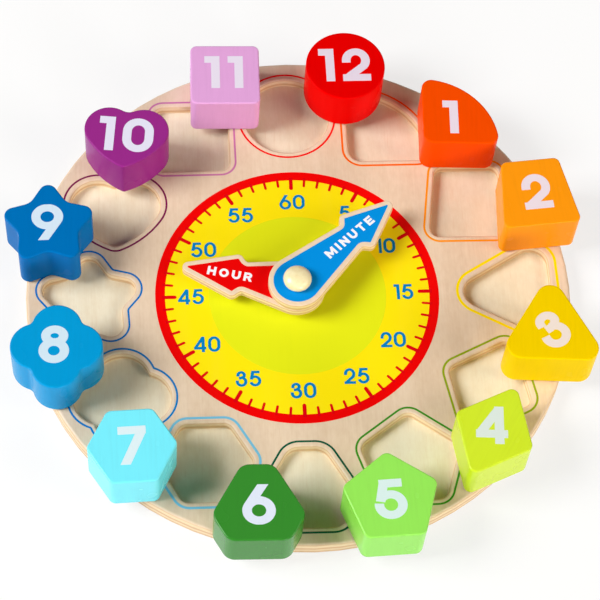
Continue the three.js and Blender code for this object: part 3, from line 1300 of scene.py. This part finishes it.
SIGNS: dict[str, Sign] = {
    "0": Sign(0.72, (Stroke((Bend(0.36, 0.64, 0.36, 0.36, 0, 180),
                             Bend(0.36, 0.36, 0.36, 0.36, 180, 360)), closed=True),)),
    "1": Sign(0.225, (bar((0.225, 0), (0.225, 1)), bar((0, 1), (0.225, 1)))),
    "2": Sign(0.645, (
        flush((0, 0.585), Bend(0.322, 0.663, 0.322, 0.337, 180, -41), (-0.04, -0.036),
              end=Cut.SQUARE),
        bar((0, 0), (0.645, 0)))),
    "3": Sign(0.658, (
        flush((0.077, 0.69), Bend(0.321, 0.8, 0.246, 0.2, 188, -90)),
        flush((0.139, 0.55), (0.33, 0.575)),
        flush(Bend(0.329, 0.3, 0.329, 0.3, 90, -188), (0.003, 0.381)))),
    "4": Sign(0.72, (
        bar((0.599, 0), (0.599, 1)),
        bar((0, 0.207), (0.72, 0.207)),
        Stroke(((-0.03, 0.208), (0.61, 1.066)), end=Cut.LONG, within=0.599))),
    "6": Sign(0.714, (
        oval(0.357, 0.31, 0.355, 0.317),
        flush((0.055, 0.478), (0.5015, 1.142), end=Cut.LONG))),
    "7": Sign(0.584, (
        bar((0, 1), (0.584, 1)),
        bar((0.614, 1), (0.041, -0.146), end=Cut.LONG))),
    "8": Sign(0.646, (oval(0.323, 0.288, 0.323, 0.288), oval(0.337, 0.785, 0.271, 0.215))),
    "9": Sign(0.714, (
        oval(0.357, 0.69, 0.355, 0.317),
        flush((0.659, 0.522), (0.2125, -0.142), end=Cut.LONG))),
    "H": Sign(0.88, (
        bar((0, 0), (0, 1)),
        bar((0.88, 0), (0.88, 1)),
        bar((0, 0.5), (0.88, 0.5)))),
    "O": Sign(1.0, (oval(0.5, 0.5, 0.5, 0.5),)),
    "U": Sign(0.9, (bar((0, 1), Bend(0.45, 0.42, 0.45, 0.42, 180, 360), (0.9, 1)),)),
    "R": Sign(0.87, (
        bar((0, 0), (0, 1)),
        flush((0, 1), Bend(0.5, 0.73, 0.29, 0.27, 90, -90), (0, 0.46)),
        flush((0.48, 0.44), (0.79, -0.05), end=Cut.LONG))),
    "M": Sign(1.22, (
        bar((0, 0), (0, 1)),
        bar((1.22, 0), (1.22, 1)),
        bar((0.02, 1.05), (0.61, 0.2)),
        bar((1.2, 1.05), (0.61, 0.2)))),
    "I": Sign(0.0, (bar((0, 0), (0, 1)),)),
    "N": Sign(0.87, (
        bar((0, 0), (0, 1)),
        bar((0.87, 0), (0.87, 1)),
        bar((0.02, 1.0), (0.85, 0.0)))),
    "T": Sign(0.85, (bar((0.425, 0), (0.425, 1)), bar((0, 1), (0.85, 1)))),
    "E": Sign(0.76, (
        bar((0, 0), (0, 1)),
        bar((0, 1), (0.76, 1)),
        bar((0, 0), (0.76, 0)),
        bar((0, 0.5), (0.68, 0.5)))),
}


@dataclass
class Placed:
    """A piece that is ready for the frame: its object, its body, slot and replaced nodes."""

    piece: bpy.types.Object
    body: str
    slot: str
    stands_for: tuple[str, ...] = ()

    def join(self) -> None:
        """Lets the piece ride on its body, and reports it."""
        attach(self.piece, self.body)
        if self.stands_for:
            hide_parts(*self.stands_for)
        log.info("%s rides on %s with %d faces", self.piece.name, self.body,
                 len(self.piece.data.polygons))


def dressed(piece: bpy.types.Object, finish: Finish) -> bpy.types.Object:
    """Gives a piece its finish."""
    piece.data.materials.append(finish.material())
    return piece


@dataclass(frozen=True)
class Berth:
    """A place round the dial: a share of a circle's radius, an angle and a turn in degrees."""

    share: float
    angle: float
    turn: float = 0.0


@dataclass(frozen=True)
class PrintedLine:
    """The line round a cut-out: its colour, its width and how far it is from the block."""

    colour: Colour
    width: float
    offset: float


@dataclass(frozen=True)
class BlockPlan:
    """One puzzle block: its shape, its home in the board, its place now and its number."""

    node: str
    outline: Outline
    paint: Paint
    line: PrintedLine
    number_ink: Colour
    home: Berth
    standing: Berth
    number_at: Point
    number_height: float
    number_turn: float = 0.0

    @property
    def body(self) -> str:
        """The name of the CAD body that the block is."""
        return self.node[:len("block_00")]

    @property
    def number(self) -> str:
        """The number that is printed on the block."""
        return str(int(self.body[len("block_"):]))

    @property
    def slot(self) -> str:
        """The slot of the block's paint and of the line round its cut-out."""
        return self.paint.name

    @property
    def has_lobes(self) -> bool:
        """Whether the outline is the four-lobed one."""
        return self.node.endswith("quatrefoil")


@dataclass
class Layout:
    """The sizes that the board, the cut-outs, the blocks and the prints share."""

    board_radius: float = 115.2
    base_thickness: float = 3.0
    face_thickness: float = 4.5
    rim_round: float = 1.5
    back_round: float = 1.0
    pocket_round: float = 1.3
    dial_x: float = -1.1
    dial_y: float = -1.3
    peg_x: float = -1.8
    peg_y: float = -1.2
    block_height: float = 21.0
    block_round: float = 0.7
    pocket_clearance: float = 1.25
    seat_gap: float = 0.3
    rim_band: float = 7.9
    pocket_web: float = 9.0
    standing_inset: float = 10.2
    peg_radius: float = 3.0
    peg_glue_gap: float = 0.15
    hand_clearance: float = 0.08
    spacer_radius: float = 7.5
    spacer_height: float = 3.4
    hand_thickness: float = 4.0
    print_sink: float = 0.02
    print_rise: float = 0.03

    @property
    def face_top(self) -> float:
        """The height of the board's printed face."""
        return self.base_thickness + self.face_thickness

    @property
    def half_pitch(self) -> float:
        """Half the distance between two neighbouring cut-outs, on a circle of radius 1."""
        return math.sin(math.pi / BLOCK_COUNT)

    @property
    def pocket_circle(self) -> float:
        """The radius of the circle that the cut-outs lie on."""
        reach = self.board_radius - self.rim_band + self.pocket_web / 2
        return reach / (1 + self.half_pitch)

    @property
    def block_span(self) -> float:
        """The width of a round block."""
        across = 2 * self.pocket_circle * self.half_pitch
        return across - self.pocket_web - 2 * self.pocket_clearance

    @property
    def standing_circle(self) -> float:
        """The radius of the circle that the standing blocks lie on."""
        return self.board_radius - self.standing_inset

    def polar(self, circle: float, berth: Berth) -> Matrix:
        """Turns a berth on a circle round the dial into a move on the board.

        Args:
            circle: The circle's radius.
            berth: The place on it.

        Returns:
            The move.
        """
        reach = circle * berth.share
        angle = math.radians(berth.angle)
        return move(self.dial_x + reach * math.cos(angle), self.dial_y + reach * math.sin(angle),
                    math.radians(berth.turn))


BOARD_WOOD = Plywood("board_plywood", bottom=Layout.base_thickness,
                     top=Layout.base_thickness + Layout.face_thickness)
BACK_WOOD = Plywood("back_plywood", pale=srgb(250, 241, 217), dark=srgb(235, 219, 188),
                    top=Layout.base_thickness, layers=2)
HAND_WOOD = Plywood("hand_plywood", pale=srgb(244, 222, 196), dark=srgb(228, 200, 168),
                    top=Layout.hand_thickness, contrast=0.7)
PEG_WOOD = TurnedWood("turned_wood")
INK_RED = Ink("ink_red", srgb(238, 0, 0), srgb(250, 60, 40))
INK_TICK = Ink("ink_tick_red", srgb(220, 0, 14), srgb(240, 60, 40))
INK_YELLOW = Ink("ink_yellow", srgb(255, 232, 12), srgb(250, 220, 120))
INK_LIME = Ink("ink_lime", srgb(228, 234, 24), srgb(200, 214, 10), show=0.35)
INK_BLUE = Ink("ink_blue", srgb(0, 128, 196), srgb(0, 106, 172))
HAND_BLUE = Ink("hand_blue", srgb(0, 143, 226), srgb(0, 125, 210))
HAND_RED = Ink("hand_red", srgb(230, 0, 0), srgb(210, 0, 0))
INK_WHITE = Ink("ink_white", srgb(246, 246, 252), srgb(220, 225, 235))


def block_plans() -> list[BlockPlan]:
    """Lists the twelve blocks, with their homes and standing places round the dial.

    Returns:
        The plans, in the order of their numbers.
    """
    return [
        BlockPlan(
            "block_01_quarter_circle", Shape.quarter(),
            Paint("paint_orange", srgb(246, 76, 0), Gloss.DULL),
            PrintedLine(srgb(244, 104, 12), 0.88, 3.93), srgb(235, 220, 235),
            home=Berth(1.0167, 62.8), standing=Berth(0.9749, 46.22, -2.46),
            number_at=(-1.74, -0.58), number_height=16.57),
        BlockPlan(
            "block_02_trapezoid", Shape.trapezoid(),
            Paint("paint_amber", srgb(255, 154, 12), Gloss.SATIN),
            PrintedLine(srgb(250, 150, 8), 0.89, 3.92), srgb(238, 222, 232),
            home=Berth(0.9958, 29.79, -0.5), standing=Berth(1.0321, 18.92, 4.81),
            number_at=(0.08, 0.24), number_height=16.96),
        BlockPlan(
            "block_03_triangle", Shape.triangle(),
            Paint("paint_yellow", srgb(245, 207, 0), Gloss.DULL),
            PrintedLine(srgb(250, 220, 0), 1.15, 4.4), srgb(240, 225, 215),
            home=Berth(1.0512, -0.24, 90.5), standing=Berth(1.0167, -16.58, -3.86),
            number_at=(0.04, 0.02), number_height=17.0, number_turn=29.0),
        BlockPlan(
            "block_04_rhombus", Shape.rhombus(),
            Paint("paint_lime", srgb(207, 232, 31), Gloss.GLOSSY),
            PrintedLine(srgb(142, 164, 14), 0.9, 4.1), srgb(218, 232, 225),
            home=Berth(1.0112, -29.85, -27.16), standing=Berth(1.0035, -45.32, -29.76),
            number_at=(-1.84, 1.44), number_height=16.45, number_turn=26.0),
        BlockPlan(
            "block_05_pentagon", Shape.pentagon(),
            Paint("paint_light_green", srgb(146, 230, 84), Gloss.GLOSSY),
            PrintedLine(srgb(62, 142, 28), 0.85, 3.76), srgb(214, 238, 236),
            home=Berth(0.9931, -61.18, 0.1), standing=Berth(1.0221, -73.43, 2.31),
            number_at=(-0.59, -0.57), number_height=16.96),
        BlockPlan(
            "block_06_clipped_triangle", Shape.clipped_triangle(),
            Paint("paint_dark_green", srgb(36, 130, 20), Gloss.GLOSSY),
            PrintedLine(srgb(0, 82, 56), 0.85, 3.78), srgb(220, 230, 248),
            home=Berth(1.01, -90.1, -0.5), standing=Berth(1.0170, -101.84, -0.98),
            number_at=(0.0, 0.54), number_height=17.02),
        BlockPlan(
            "block_07_hexagon", Shape.hexagon(),
            Paint("paint_sky", srgb(116, 236, 254), Gloss.GLOSSY),
            PrintedLine(srgb(120, 196, 230), 1.05, 3.98), srgb(218, 238, 245),
            home=Berth(0.9725, -118.36), standing=Berth(0.9984, -132.65, 2.02),
            number_at=(0.2, 0.08), number_height=16.54),
        BlockPlan(
            "block_08_quatrefoil", Shape.quatrefoil(),
            Paint("paint_blue", srgb(0, 152, 214), Gloss.SATIN),
            PrintedLine(srgb(0, 122, 196), 0.84, 3.67), srgb(205, 228, 243),
            home=Berth(0.9866, -148.3), standing=Berth(1.0057, -162.31, -1.91),
            number_at=(-0.97, 0.7), number_height=17.0),
        BlockPlan(
            "block_09_star", Shape.star(),
            Paint("paint_deep_blue", srgb(0, 110, 184), Gloss.DULL),
            PrintedLine(srgb(0, 112, 192), 0.81, 3.92), srgb(208, 228, 245),
            home=Berth(0.9872, 179.95), standing=Berth(1.0147, 166.52, 0.59),
            number_at=(-0.43, 0.76), number_height=17.0),
        BlockPlan(
            "block_10_heart", Shape.heart(),
            Paint("paint_purple", srgb(150, 40, 136), Gloss.SATIN),
            PrintedLine(srgb(122, 14, 76), 0.8, 4.03), srgb(225, 225, 245),
            home=Berth(0.9548, 153.82, -0.5), standing=Berth(0.8990, 138.91, -6.04),
            number_at=(0.0, 5.7), number_height=16.8),
        BlockPlan(
            "block_11_square", Shape.square(),
            Paint("paint_mauve", srgb(225, 165, 221), Gloss.DULL),
            PrintedLine(srgb(200, 116, 166), 0.84, 3.76), srgb(230, 222, 240),
            home=Berth(0.9998, 118.33, 0.2), standing=Berth(0.9621, 105.64, -1.12),
            number_at=(-0.54, 1.18), number_height=16.47),
        BlockPlan(
            "block_12_circle", Shape.circle(),
            Paint("paint_red", srgb(229, 0, 0), Gloss.DULL),
            PrintedLine(srgb(236, 12, 12), 0.83, 4.01), srgb(228, 215, 232),
            home=Berth(1.0012, 90.07), standing=Berth(0.9905, 75.91),
            number_at=(-0.4, 0.25), number_height=16.8),
    ]


@dataclass
class Board:
    """The board: a plain back disc, and a face disc with twelve cut-outs and their lines."""

    layout: Layout
    plans: Sequence[BlockPlan]
    sharpest_notch: float = 0.5

    def build(self) -> list[Placed]:
        """Builds the two discs and the twelve printed lines."""
        found = [self.back_disc(), self.face_disc()]
        return found + [self.cut_out_line(plan) for plan in self.plans]

    def back_disc(self) -> Placed:
        """Builds the disc that closes the cut-outs from below.

        Returns:
            The disc.
        """
        sizes = self.layout
        steps = Profile.wall(0, sizes.base_thickness, sizes.back_round, 0)
        made = plate("back_disc", [Contour(disc(sizes.board_radius), steps)])
        return Placed(dressed(made, BACK_WOOD), "board", "board_plywood", ("base_board",))

    def face_disc(self) -> Placed:
        """Builds the pierced disc; each cut-out is its block's outline with some clearance.

        Returns:
            The disc.
        """
        sizes = self.layout
        low, high = sizes.base_thickness, sizes.face_top
        hole = Profile.wall(low, high, 0, sizes.pocket_round, -1, sizes.pocket_clearance)
        contours = [Contour(disc(sizes.board_radius), Profile.wall(low, high, 0, sizes.rim_round))]
        for plan in self.plans:
            contours.append(Contour(plan.outline.scaled(sizes.block_span), hole,
                                    sizes.polar(sizes.pocket_circle, plan.home)))
        contours.append(Contour(disc(sizes.peg_radius + sizes.peg_glue_gap),
                                Profile.wall(low, high, 0, 0),
                                move(sizes.peg_x, sizes.peg_y, 0)))
        made = plate("pierced_face", contours)
        return Placed(dressed(made, BOARD_WOOD), "board", "board_plywood", ("face_board",))

    def cut_out_line(self, plan: BlockPlan) -> Placed:
        """Prints the coloured line that runs round one cut-out.

        Args:
            plan: The block whose cut-out it is.

        Returns:
            The line.
        """
        sizes = self.layout
        place = sizes.polar(sizes.pocket_circle, plan.home)
        line = [(place @ Vector((spot.x, spot.y, 1))).to_2d() for spot in self.line_path(plan)]
        quads = ribbon(line, plan.line.width, True)
        made = slab("line_" + plan.node[len("block_"):], quads,
                    sizes.face_top - sizes.print_sink, sizes.face_top + sizes.print_rise)
        ink = Ink("line_" + plan.slot[len("paint_"):], plan.line.colour, plan.paint.colour,
                  show=0.0)
        return Placed(dressed(made, ink), "board", plan.slot)

    def line_path(self, plan: BlockPlan) -> list[Vector]:
        """Gives the points of a line; only the lobes of a four-lobed one grow, not its notches.

        Args:
            plan: The block whose cut-out it is.

        Returns:
            The points, about the cut-out's own middle.
        """
        span = self.layout.block_span
        grow = plan.line.offset
        if not plan.has_lobes:
            return plan.outline.scaled(span).points(grow)
        wider = Shape.quatrefoil(Shape.LOBE + grow / span, self.sharpest_notch / span)
        return wider.scaled(span).points()


@dataclass
class Dial:
    """The printed dial: a yellow disc, a lime disc, a red ring, sixty ticks and the minutes."""

    layout: Layout
    radius: float = 60.0
    yellow_share: float = 0.96
    lime_share: float = 0.626
    ring_share: float = 0.932
    tick_overlap: float = 0.02
    long_tick_share: float = 0.864
    short_tick_share: float = 0.885
    long_tick_width: float = 1.6
    short_tick_width: float = 1.08
    number_share: float = 0.75
    number_step: int = 5
    number_pen: Pen = Pen(height=7.2, stroke=1.3, gap=0.75, stretch=0.9, slit=196.0)
    circle_steps: int = 180
    tick_end_steps: int = 12
    layer_rise: float = 0.02

    def build(self) -> list[Placed]:
        """Prints the layers, each a little above the one before.

        Returns:
            The layers.
        """
        yellow = self.circle(self.radius * self.yellow_share)
        lime = self.circle(self.radius * self.lime_share)
        return [
            self.layer("dial_yellow", [yellow], 1, INK_YELLOW, "ink_yellow"),
            self.layer("dial_lime", [lime], 2, INK_LIME, "ink_lime"),
            self.layer("dial_ring", self.ring(), 2, INK_RED, "ink_red"),
            self.layer("dial_ticks", self.ticks(), 3, INK_TICK, "ink_red"),
            self.layer("dial_minutes", self.minutes(), 3, INK_BLUE, "ink_blue"),
        ]

    def layer(self, name: str, polygons: list, level: int, ink: Ink, slot: str) -> Placed:
        """Prints one layer at a level above the board.

        Args:
            name: The layer's name.
            polygons: The shapes that are printed.
            level: How many layers high it is.
            ink: The ink.
            slot: The ink's slot.

        Returns:
            The layer.
        """
        sizes = self.layout
        made = slab(name, polygons, sizes.face_top - sizes.print_sink,
                    sizes.face_top + self.layer_rise * level)
        return Placed(dressed(made, ink), "board", slot)

    def spot(self, reach: float, angle: float) -> Vector:
        """Gives a point of the dial by its distance and clockwise angle from the top."""
        return Vector((self.layout.dial_x + reach * math.sin(angle),
                       self.layout.dial_y + reach * math.cos(angle)))

    def circle(self, radius: float) -> list[Vector]:
        """Gives a circle about the dial's middle, anticlockwise."""
        count = self.circle_steps
        return [self.spot(radius, -2 * math.pi * i / count) for i in range(count)]

    def ring(self) -> list[list[Vector]]:
        """Gives the quads of the red ring."""
        width = self.radius * (1 - self.ring_share)
        return ribbon(self.circle(self.radius - width / 2), width, True)

    def ticks(self) -> list[list[Vector]]:
        """Gives the quads of the sixty ticks, every fifth long and bold.

        Returns:
            The quads, and a round end for each tick.
        """
        found = []
        outer = self.radius * (self.ring_share + self.tick_overlap)
        for minute in range(MINUTES):
            angle = 2 * math.pi * minute / MINUTES
            is_long = minute % self.number_step == 0
            share = self.long_tick_share if is_long else self.short_tick_share
            width = self.long_tick_width if is_long else self.short_tick_width
            line = [self.spot(self.radius * share, angle), self.spot(outer, angle)]
            found += ribbon(line, width, False)
            found.append(self.tick_end(line[0], width / 2))
        return found

    def tick_end(self, middle: Vector, radius: float) -> list[Vector]:
        """Gives the round end of a tick.

        Args:
            middle: The end's middle.
            radius: Half the tick's width.

        Returns:
            The polygon.
        """
        count = self.tick_end_steps
        return [middle + Vector((math.cos(a), math.sin(a))) * radius
                for a in (2 * math.pi * i / count for i in range(count))]

    def minutes(self) -> list[list[Vector]]:
        """Gives the minute numbers, five to sixty, all upright.

        Returns:
            The quads of the numbers' strokes.
        """
        found = []
        for number in range(self.number_step, MINUTES + 1, self.number_step):
            angle = 2 * math.pi * number / MINUTES
            middle = self.spot(self.radius * self.number_share, angle)
            found += self.number_pen.write(str(number), move(middle.x, middle.y, 0))
        return found


@dataclass
class Block:
    """One painted block with its number."""

    layout: Layout
    plan: BlockPlan
    number_stroke: float = 3.75
    number_gap: float = 3.5
    number_show: float = 0.2

    def build(self) -> list[Placed]:
        """Builds the block and prints its number.

        Returns:
            The block and its number.
        """
        sizes, plan = self.layout, self.plan
        outline = plan.outline.scaled(sizes.block_span)
        steps = Profile.wall(0, sizes.block_height, sizes.block_round, sizes.block_round)
        made = plate(plan.node + "_painted", [Contour(outline, steps)])
        self.stand(dressed(made, plan.paint))
        number = self.number()
        self.stand(number)
        return [Placed(made, plan.body, plan.slot, (plan.node,)),
                Placed(number, plan.body, "ink_white")]

    def number(self) -> bpy.types.Object:
        """Prints the number on a block that lies at the middle of the frame.

        Returns:
            The number.
        """
        sizes, plan = self.layout, self.plan
        pen = Pen(plan.number_height, self.number_stroke, self.number_gap)
        x, y = plan.number_at
        quads = pen.write(plan.number, move(x, y, math.radians(plan.number_turn)))
        top = sizes.block_height
        made = slab("number_" + plan.number.zfill(2), quads,
                    top - sizes.print_sink, top + sizes.print_rise)
        ink = Ink("number_on_" + plan.slot, plan.number_ink, plan.paint.colour,
                  show=self.number_show)
        return dressed(made, ink)

    def stand(self, piece: bpy.types.Object) -> None:
        """Moves a piece from the block's own middle to where the block stands.

        Args:
            piece: The block or its number.
        """
        sizes = self.layout
        place = sizes.polar(sizes.standing_circle, self.plan.standing)
        foot = sizes.face_top + sizes.seat_gap
        piece.location = Vector((place[0][2], place[1][2], foot)) * METRES_PER_MM
        piece.rotation_euler.z = math.radians(self.plan.standing.turn)


@dataclass
class Hand:
    """A plywood hand with a painted arrow and its word."""

    layout: Layout
    node: str
    word: str
    word_at: float
    word_turn: float
    paint: Ink
    slot: str
    bottom: float
    angle: float
    paint_length: float
    barb_reach: float
    border: float = 2.15
    edge_round: float = 0.5
    hub_radius: float = 9.9
    point_radius: float = 0.4
    neck_half_width: float = 4.58
    neck_fillet: float = 4.0
    barb_half_width: float = 7.9
    barb_sweep: float = 3.0
    pen: Pen = Pen(height=4.05, stroke=1.1, gap=1.33)

    def outline(self) -> Outline:
        """Gives the painted arrow: a round hub, a narrowing shank and swept-back barbs.

        Returns:
            The outline, along +X from the peg.
        """
        neck = Vector((self.barb_reach - self.barb_sweep, self.neck_half_width))
        tangent = math.atan2(neck.y, neck.x) + math.acos(self.hub_radius / neck.length)
        touch = Vector((math.cos(tangent), math.sin(tangent))) * self.hub_radius
        barb = Vector((self.barb_reach, self.barb_half_width))
        point = Vector((self.paint_length, 0))

        def low(spot: Vector) -> Vector:
            """Mirrors a point to the arrow's other side."""
            return Vector((spot.x, -spot.y))

        return Outline((
            Arc(0, 0, self.hub_radius, tangent, 2 * math.pi - tangent),
            arc_corner(low(touch), low(neck), low(barb), self.neck_fillet),
            arc_corner(low(neck), low(barb), point, self.point_radius),
            arc_corner(low(barb), point, barb, self.point_radius),
            arc_corner(point, barb, neck, self.point_radius),
            arc_corner(barb, neck, touch, self.neck_fillet)))

    def build(self) -> list[Placed]:
        """Builds the plywood arrow, its painted face and its word.

        Returns:
            The arrow, its paint and its word.
        """
        sizes = self.layout
        arrow, face, word = self.arrow(), self.painted_face(), self.printed_word()
        for piece in (arrow, face, word):
            piece.location = Vector((sizes.peg_x, sizes.peg_y, self.bottom)) * METRES_PER_MM
            piece.rotation_euler.z = math.radians(self.angle)
        return [Placed(arrow, self.node, "hand_plywood", (self.node,)),
                Placed(face, self.node, self.slot), Placed(word, self.node, "ink_white")]

    def hole(self) -> Outline:
        """Gives the hole that turns round the peg."""
        return disc(self.layout.peg_radius + self.layout.hand_clearance)

    def arrow(self) -> bpy.types.Object:
        """Builds the plywood arrow, a bare border wider than its paint.

        Returns:
            The arrow.
        """
        thick = self.layout.hand_thickness
        rim = Profile.wall(0, thick, self.edge_round, self.edge_round, grow=self.border)
        hole = Contour(self.hole(), Profile.wall(0, thick, 0, 0))
        made = plate(self.node + "_plywood", [Contour(self.outline(), rim), hole])
        return dressed(made, HAND_WOOD)

    def painted_face(self) -> bpy.types.Object:
        """Prints the coloured arrow, with the peg's hole left open.

        Returns:
            The painted layer.
        """
        sizes = self.layout
        levels = (Step(0, sizes.hand_thickness - sizes.print_sink),
                  Step(0, sizes.hand_thickness + sizes.print_rise))
        made = plate(self.node + "_paint",
                     [Contour(self.outline(), levels), Contour(self.hole(), levels)])
        return dressed(made, self.paint)

    def printed_word(self) -> bpy.types.Object:
        """Prints the hand's word on its paint.

        Returns:
            The printed layer.
        """
        thick = self.layout.hand_thickness
        quads = self.pen.write(self.word, move(self.word_at, 0, self.word_turn))
        made = slab(self.node + "_word", quads, thick, thick + 2 * self.layout.print_rise)
        return dressed(made, INK_WHITE)


@dataclass
class Pivot:
    """The turned peg that the hands turn on, and the spacer below them."""

    layout: Layout
    spacer_round: float = 0.4
    cap_radius: float = 5.95
    cap_underside: float = 1.5
    cap_dome: float = 3.5
    cap_foot_radius: float = 4.9
    lip_steps: int = 6
    dome_steps: int = 14

    def build(self) -> list[Placed]:
        """Builds the spacer ring and the peg."""
        return [Placed(dressed(self.spacer(), PEG_WOOD), "board", "turned_wood", ("hand_spacer",)),
                Placed(dressed(self.peg(), PEG_WOOD), "board", "turned_wood", ("hand_peg",))]

    def spacer(self) -> bpy.types.Object:
        """Builds the ring that holds the hands off the board.

        Returns:
            The ring.
        """
        sizes = self.layout
        low, high = sizes.face_top, sizes.face_top + sizes.spacer_height
        place = move(sizes.peg_x, sizes.peg_y, 0)
        wall = Profile.wall(low, high, 0, self.spacer_round)
        bore = Profile.wall(low, high, 0, 0)
        return plate("spacer_ring", [
            Contour(disc(sizes.spacer_radius), wall, place),
            Contour(disc(sizes.peg_radius + sizes.peg_glue_gap), bore, place)])

    def peg(self) -> bpy.types.Object:
        """Builds the peg: a straight shank under a mushroom head with a low dome.

        Returns:
            The peg.
        """
        sizes = self.layout
        spacer_top = sizes.face_top + sizes.spacer_height
        under = spacer_top + 2 * sizes.hand_thickness + 3 * sizes.seat_gap
        widest = under + self.cap_underside
        foot = sizes.base_thickness + sizes.seat_gap
        profile = [(0, foot), (sizes.peg_radius, foot), (sizes.peg_radius, under),
                   (self.cap_foot_radius, under)]
        lip = self.cap_radius - self.cap_foot_radius
        for i in range(1, self.lip_steps + 1):
            angle = math.pi / 2 * i / self.lip_steps
            profile.append((self.cap_foot_radius + lip * math.sin(angle),
                            widest - self.cap_underside * math.cos(angle)))
        for i in range(1, self.dome_steps + 1):
            angle = math.pi / 2 * i / self.dome_steps
            profile.append((self.cap_radius * math.cos(angle),
                            widest + self.cap_dome * math.sin(angle)))
        made = turned("turned_peg", profile)
        made.location = Vector((sizes.peg_x, sizes.peg_y, 0)) * METRES_PER_MM
        return made


@dataclass(frozen=True)
class Softbox:
    """A square area light that faces the board: its place and side in metres, and its watts."""

    name: str
    place: tuple[float, float, float]
    side: float
    power: float
    colour: Colour = WHITE

    def hang(self) -> None:
        """Hangs the light where it belongs, turned towards the board."""
        data = bpy.data.lights.new(self.name, "AREA")
        data.shape = "SQUARE"
        data.size = self.side
        data.energy = self.power
        data.color = self.colour[:3]
        light = bpy.data.objects.new(self.name, data)
        light.location = self.place
        light.rotation_mode = "QUATERNION"
        light.rotation_quaternion = (-Vector(self.place)).to_track_quat("-Z", "Y")
        bpy.context.scene.collection.objects.link(light)


@dataclass
class Studio:
    """The pale floor, the soft light and the camera at the photograph's angle."""

    target: tuple[float, float, float] = (-0.212, -4.048, 7.5)
    distance: float = 965.7
    elevation: float = 62.031
    azimuth: float = -8.639
    roll: float = 6.2315
    focal_pixels: float = 2290.14
    sensor: float = 36.0
    floor_radius: float = 4000.0
    floor_drop: float = 0.1
    low_light: Colour = (0.51, 0.47, 0.41, 1.0)
    low_until: float = 0.45
    dark_from: float = 0.72
    front_until: float = 0.3
    softboxes: tuple[Softbox, ...] = (
        Softbox("key_light", (-2.2, -0.1, 1.9), side=1.35, power=89.0),
        Softbox("front_light", (0.75, -2.05, 0.57), side=0.7, power=21.0),
        Softbox("warm_light", (1.65, -0.75, 1.2), side=0.9, power=17.0,
                colour=(1.0, 0.9, 0.76, 1.0)))

    def build(self) -> None:
        """Builds all of the studio."""
        self.camera()
        self.floor()
        self.world()
        for softbox in self.softboxes:
            softbox.hang()
        bpy.context.scene.view_settings.view_transform = "Standard"

    def camera(self) -> None:
        """Places the camera, rolled a little as the photograph is."""
        a, e = math.radians(self.azimuth), math.radians(self.elevation)
        back = Vector((math.sin(a) * math.cos(e), -math.cos(a) * math.cos(e), math.sin(e)))
        right = (-back).cross(Vector((0, 0, 1))).normalized()
        up = back.cross(right)
        turn = math.radians(self.roll)
        side = right * math.cos(turn) + up * math.sin(turn)
        top = up * math.cos(turn) - right * math.sin(turn)
        data = bpy.data.cameras.new("photo_camera")
        data.sensor_width = self.sensor
        data.lens = self.focal_pixels * self.sensor / IMAGE_PIXELS
        camera = bpy.data.objects.new("photo_camera", data)
        place = (Vector(self.target) + back * self.distance) * METRES_PER_MM
        camera.matrix_world = Matrix((
            (side.x, top.x, back.x, place.x), (side.y, top.y, back.y, place.y),
            (side.z, top.z, back.z, place.z), (0, 0, 0, 1)))
        bpy.context.scene.collection.objects.link(camera)
        bpy.context.scene.camera = camera

    def floor(self) -> None:
        """Lays the floor, a hair below the board so that the two don't share a plane."""
        reach, low = self.floor_radius, -self.floor_drop
        corners = [(-reach, -reach, low), (reach, -reach, low), (reach, reach, low),
                   (-reach, reach, low)]
        made = make_object("pale_floor", corners, [[0, 1, 2, 3]], [True])
        dressed(made, PaleFloor("pale_floor"))

    def world(self) -> None:
        """Lights from low down, from the front and the sides; the camera sees plain white."""
        world = bpy.data.worlds.new("studio")
        bpy.context.scene.world = world
        world.use_nodes = True
        graph = Graph(world.node_tree)
        low_stops = [(0.0, self.low_light), (self.low_until, self.low_light),
                     (self.dark_from, BLACK), (1.0, BLACK)]
        front_stops = [(0.0, WHITE), (self.front_until, BLACK), (1.0, BLACK)]
        low = graph.node("ValToRGB", {"stops": low_stops}, {0: graph.axis("Generated", "Z")})
        front = graph.node("ValToRGB", {"stops": front_stops}, {0: graph.axis("Generated", "Y")})
        light = graph.mix(front, BLACK, low)
        colour = graph.mix(graph.sees_background(), light, WHITE)
        glow = graph.node("Background", None, {"Color": colour, "Strength": 1.0})
        graph.node("OutputWorld", None, {"Surface": glow})


def main() -> None:
    """Builds every piece in order."""
    logging.basicConfig(level=logging.INFO, format="%(name)s: %(message)s")
    layout = Layout()
    plans = block_plans()
    Studio().build()
    hour_bottom = layout.face_top + layout.spacer_height + layout.seat_gap
    minute_bottom = hour_bottom + layout.hand_thickness + layout.seat_gap
    makers = [
        Board(layout, plans),
        Dial(layout),
        Pivot(layout),
        Hand(layout, "hour_hand", "HOUR", word_at=28.5, word_turn=math.pi, paint=HAND_RED,
             slot="ink_red", bottom=hour_bottom, angle=167.2, paint_length=47.3,
             barb_reach=26.3),
        Hand(layout, "minute_hand", "MINUTE", word_at=30.9, word_turn=0.0, paint=HAND_BLUE,
             slot="ink_blue", bottom=minute_bottom, angle=41.2, paint_length=54.4,
             barb_reach=35.6),
    ]
    makers += [Block(layout, plan) for plan in plans]
    for maker in makers:
        for part in maker.build():
            part.join()


if __name__ == "__main__":
    main()
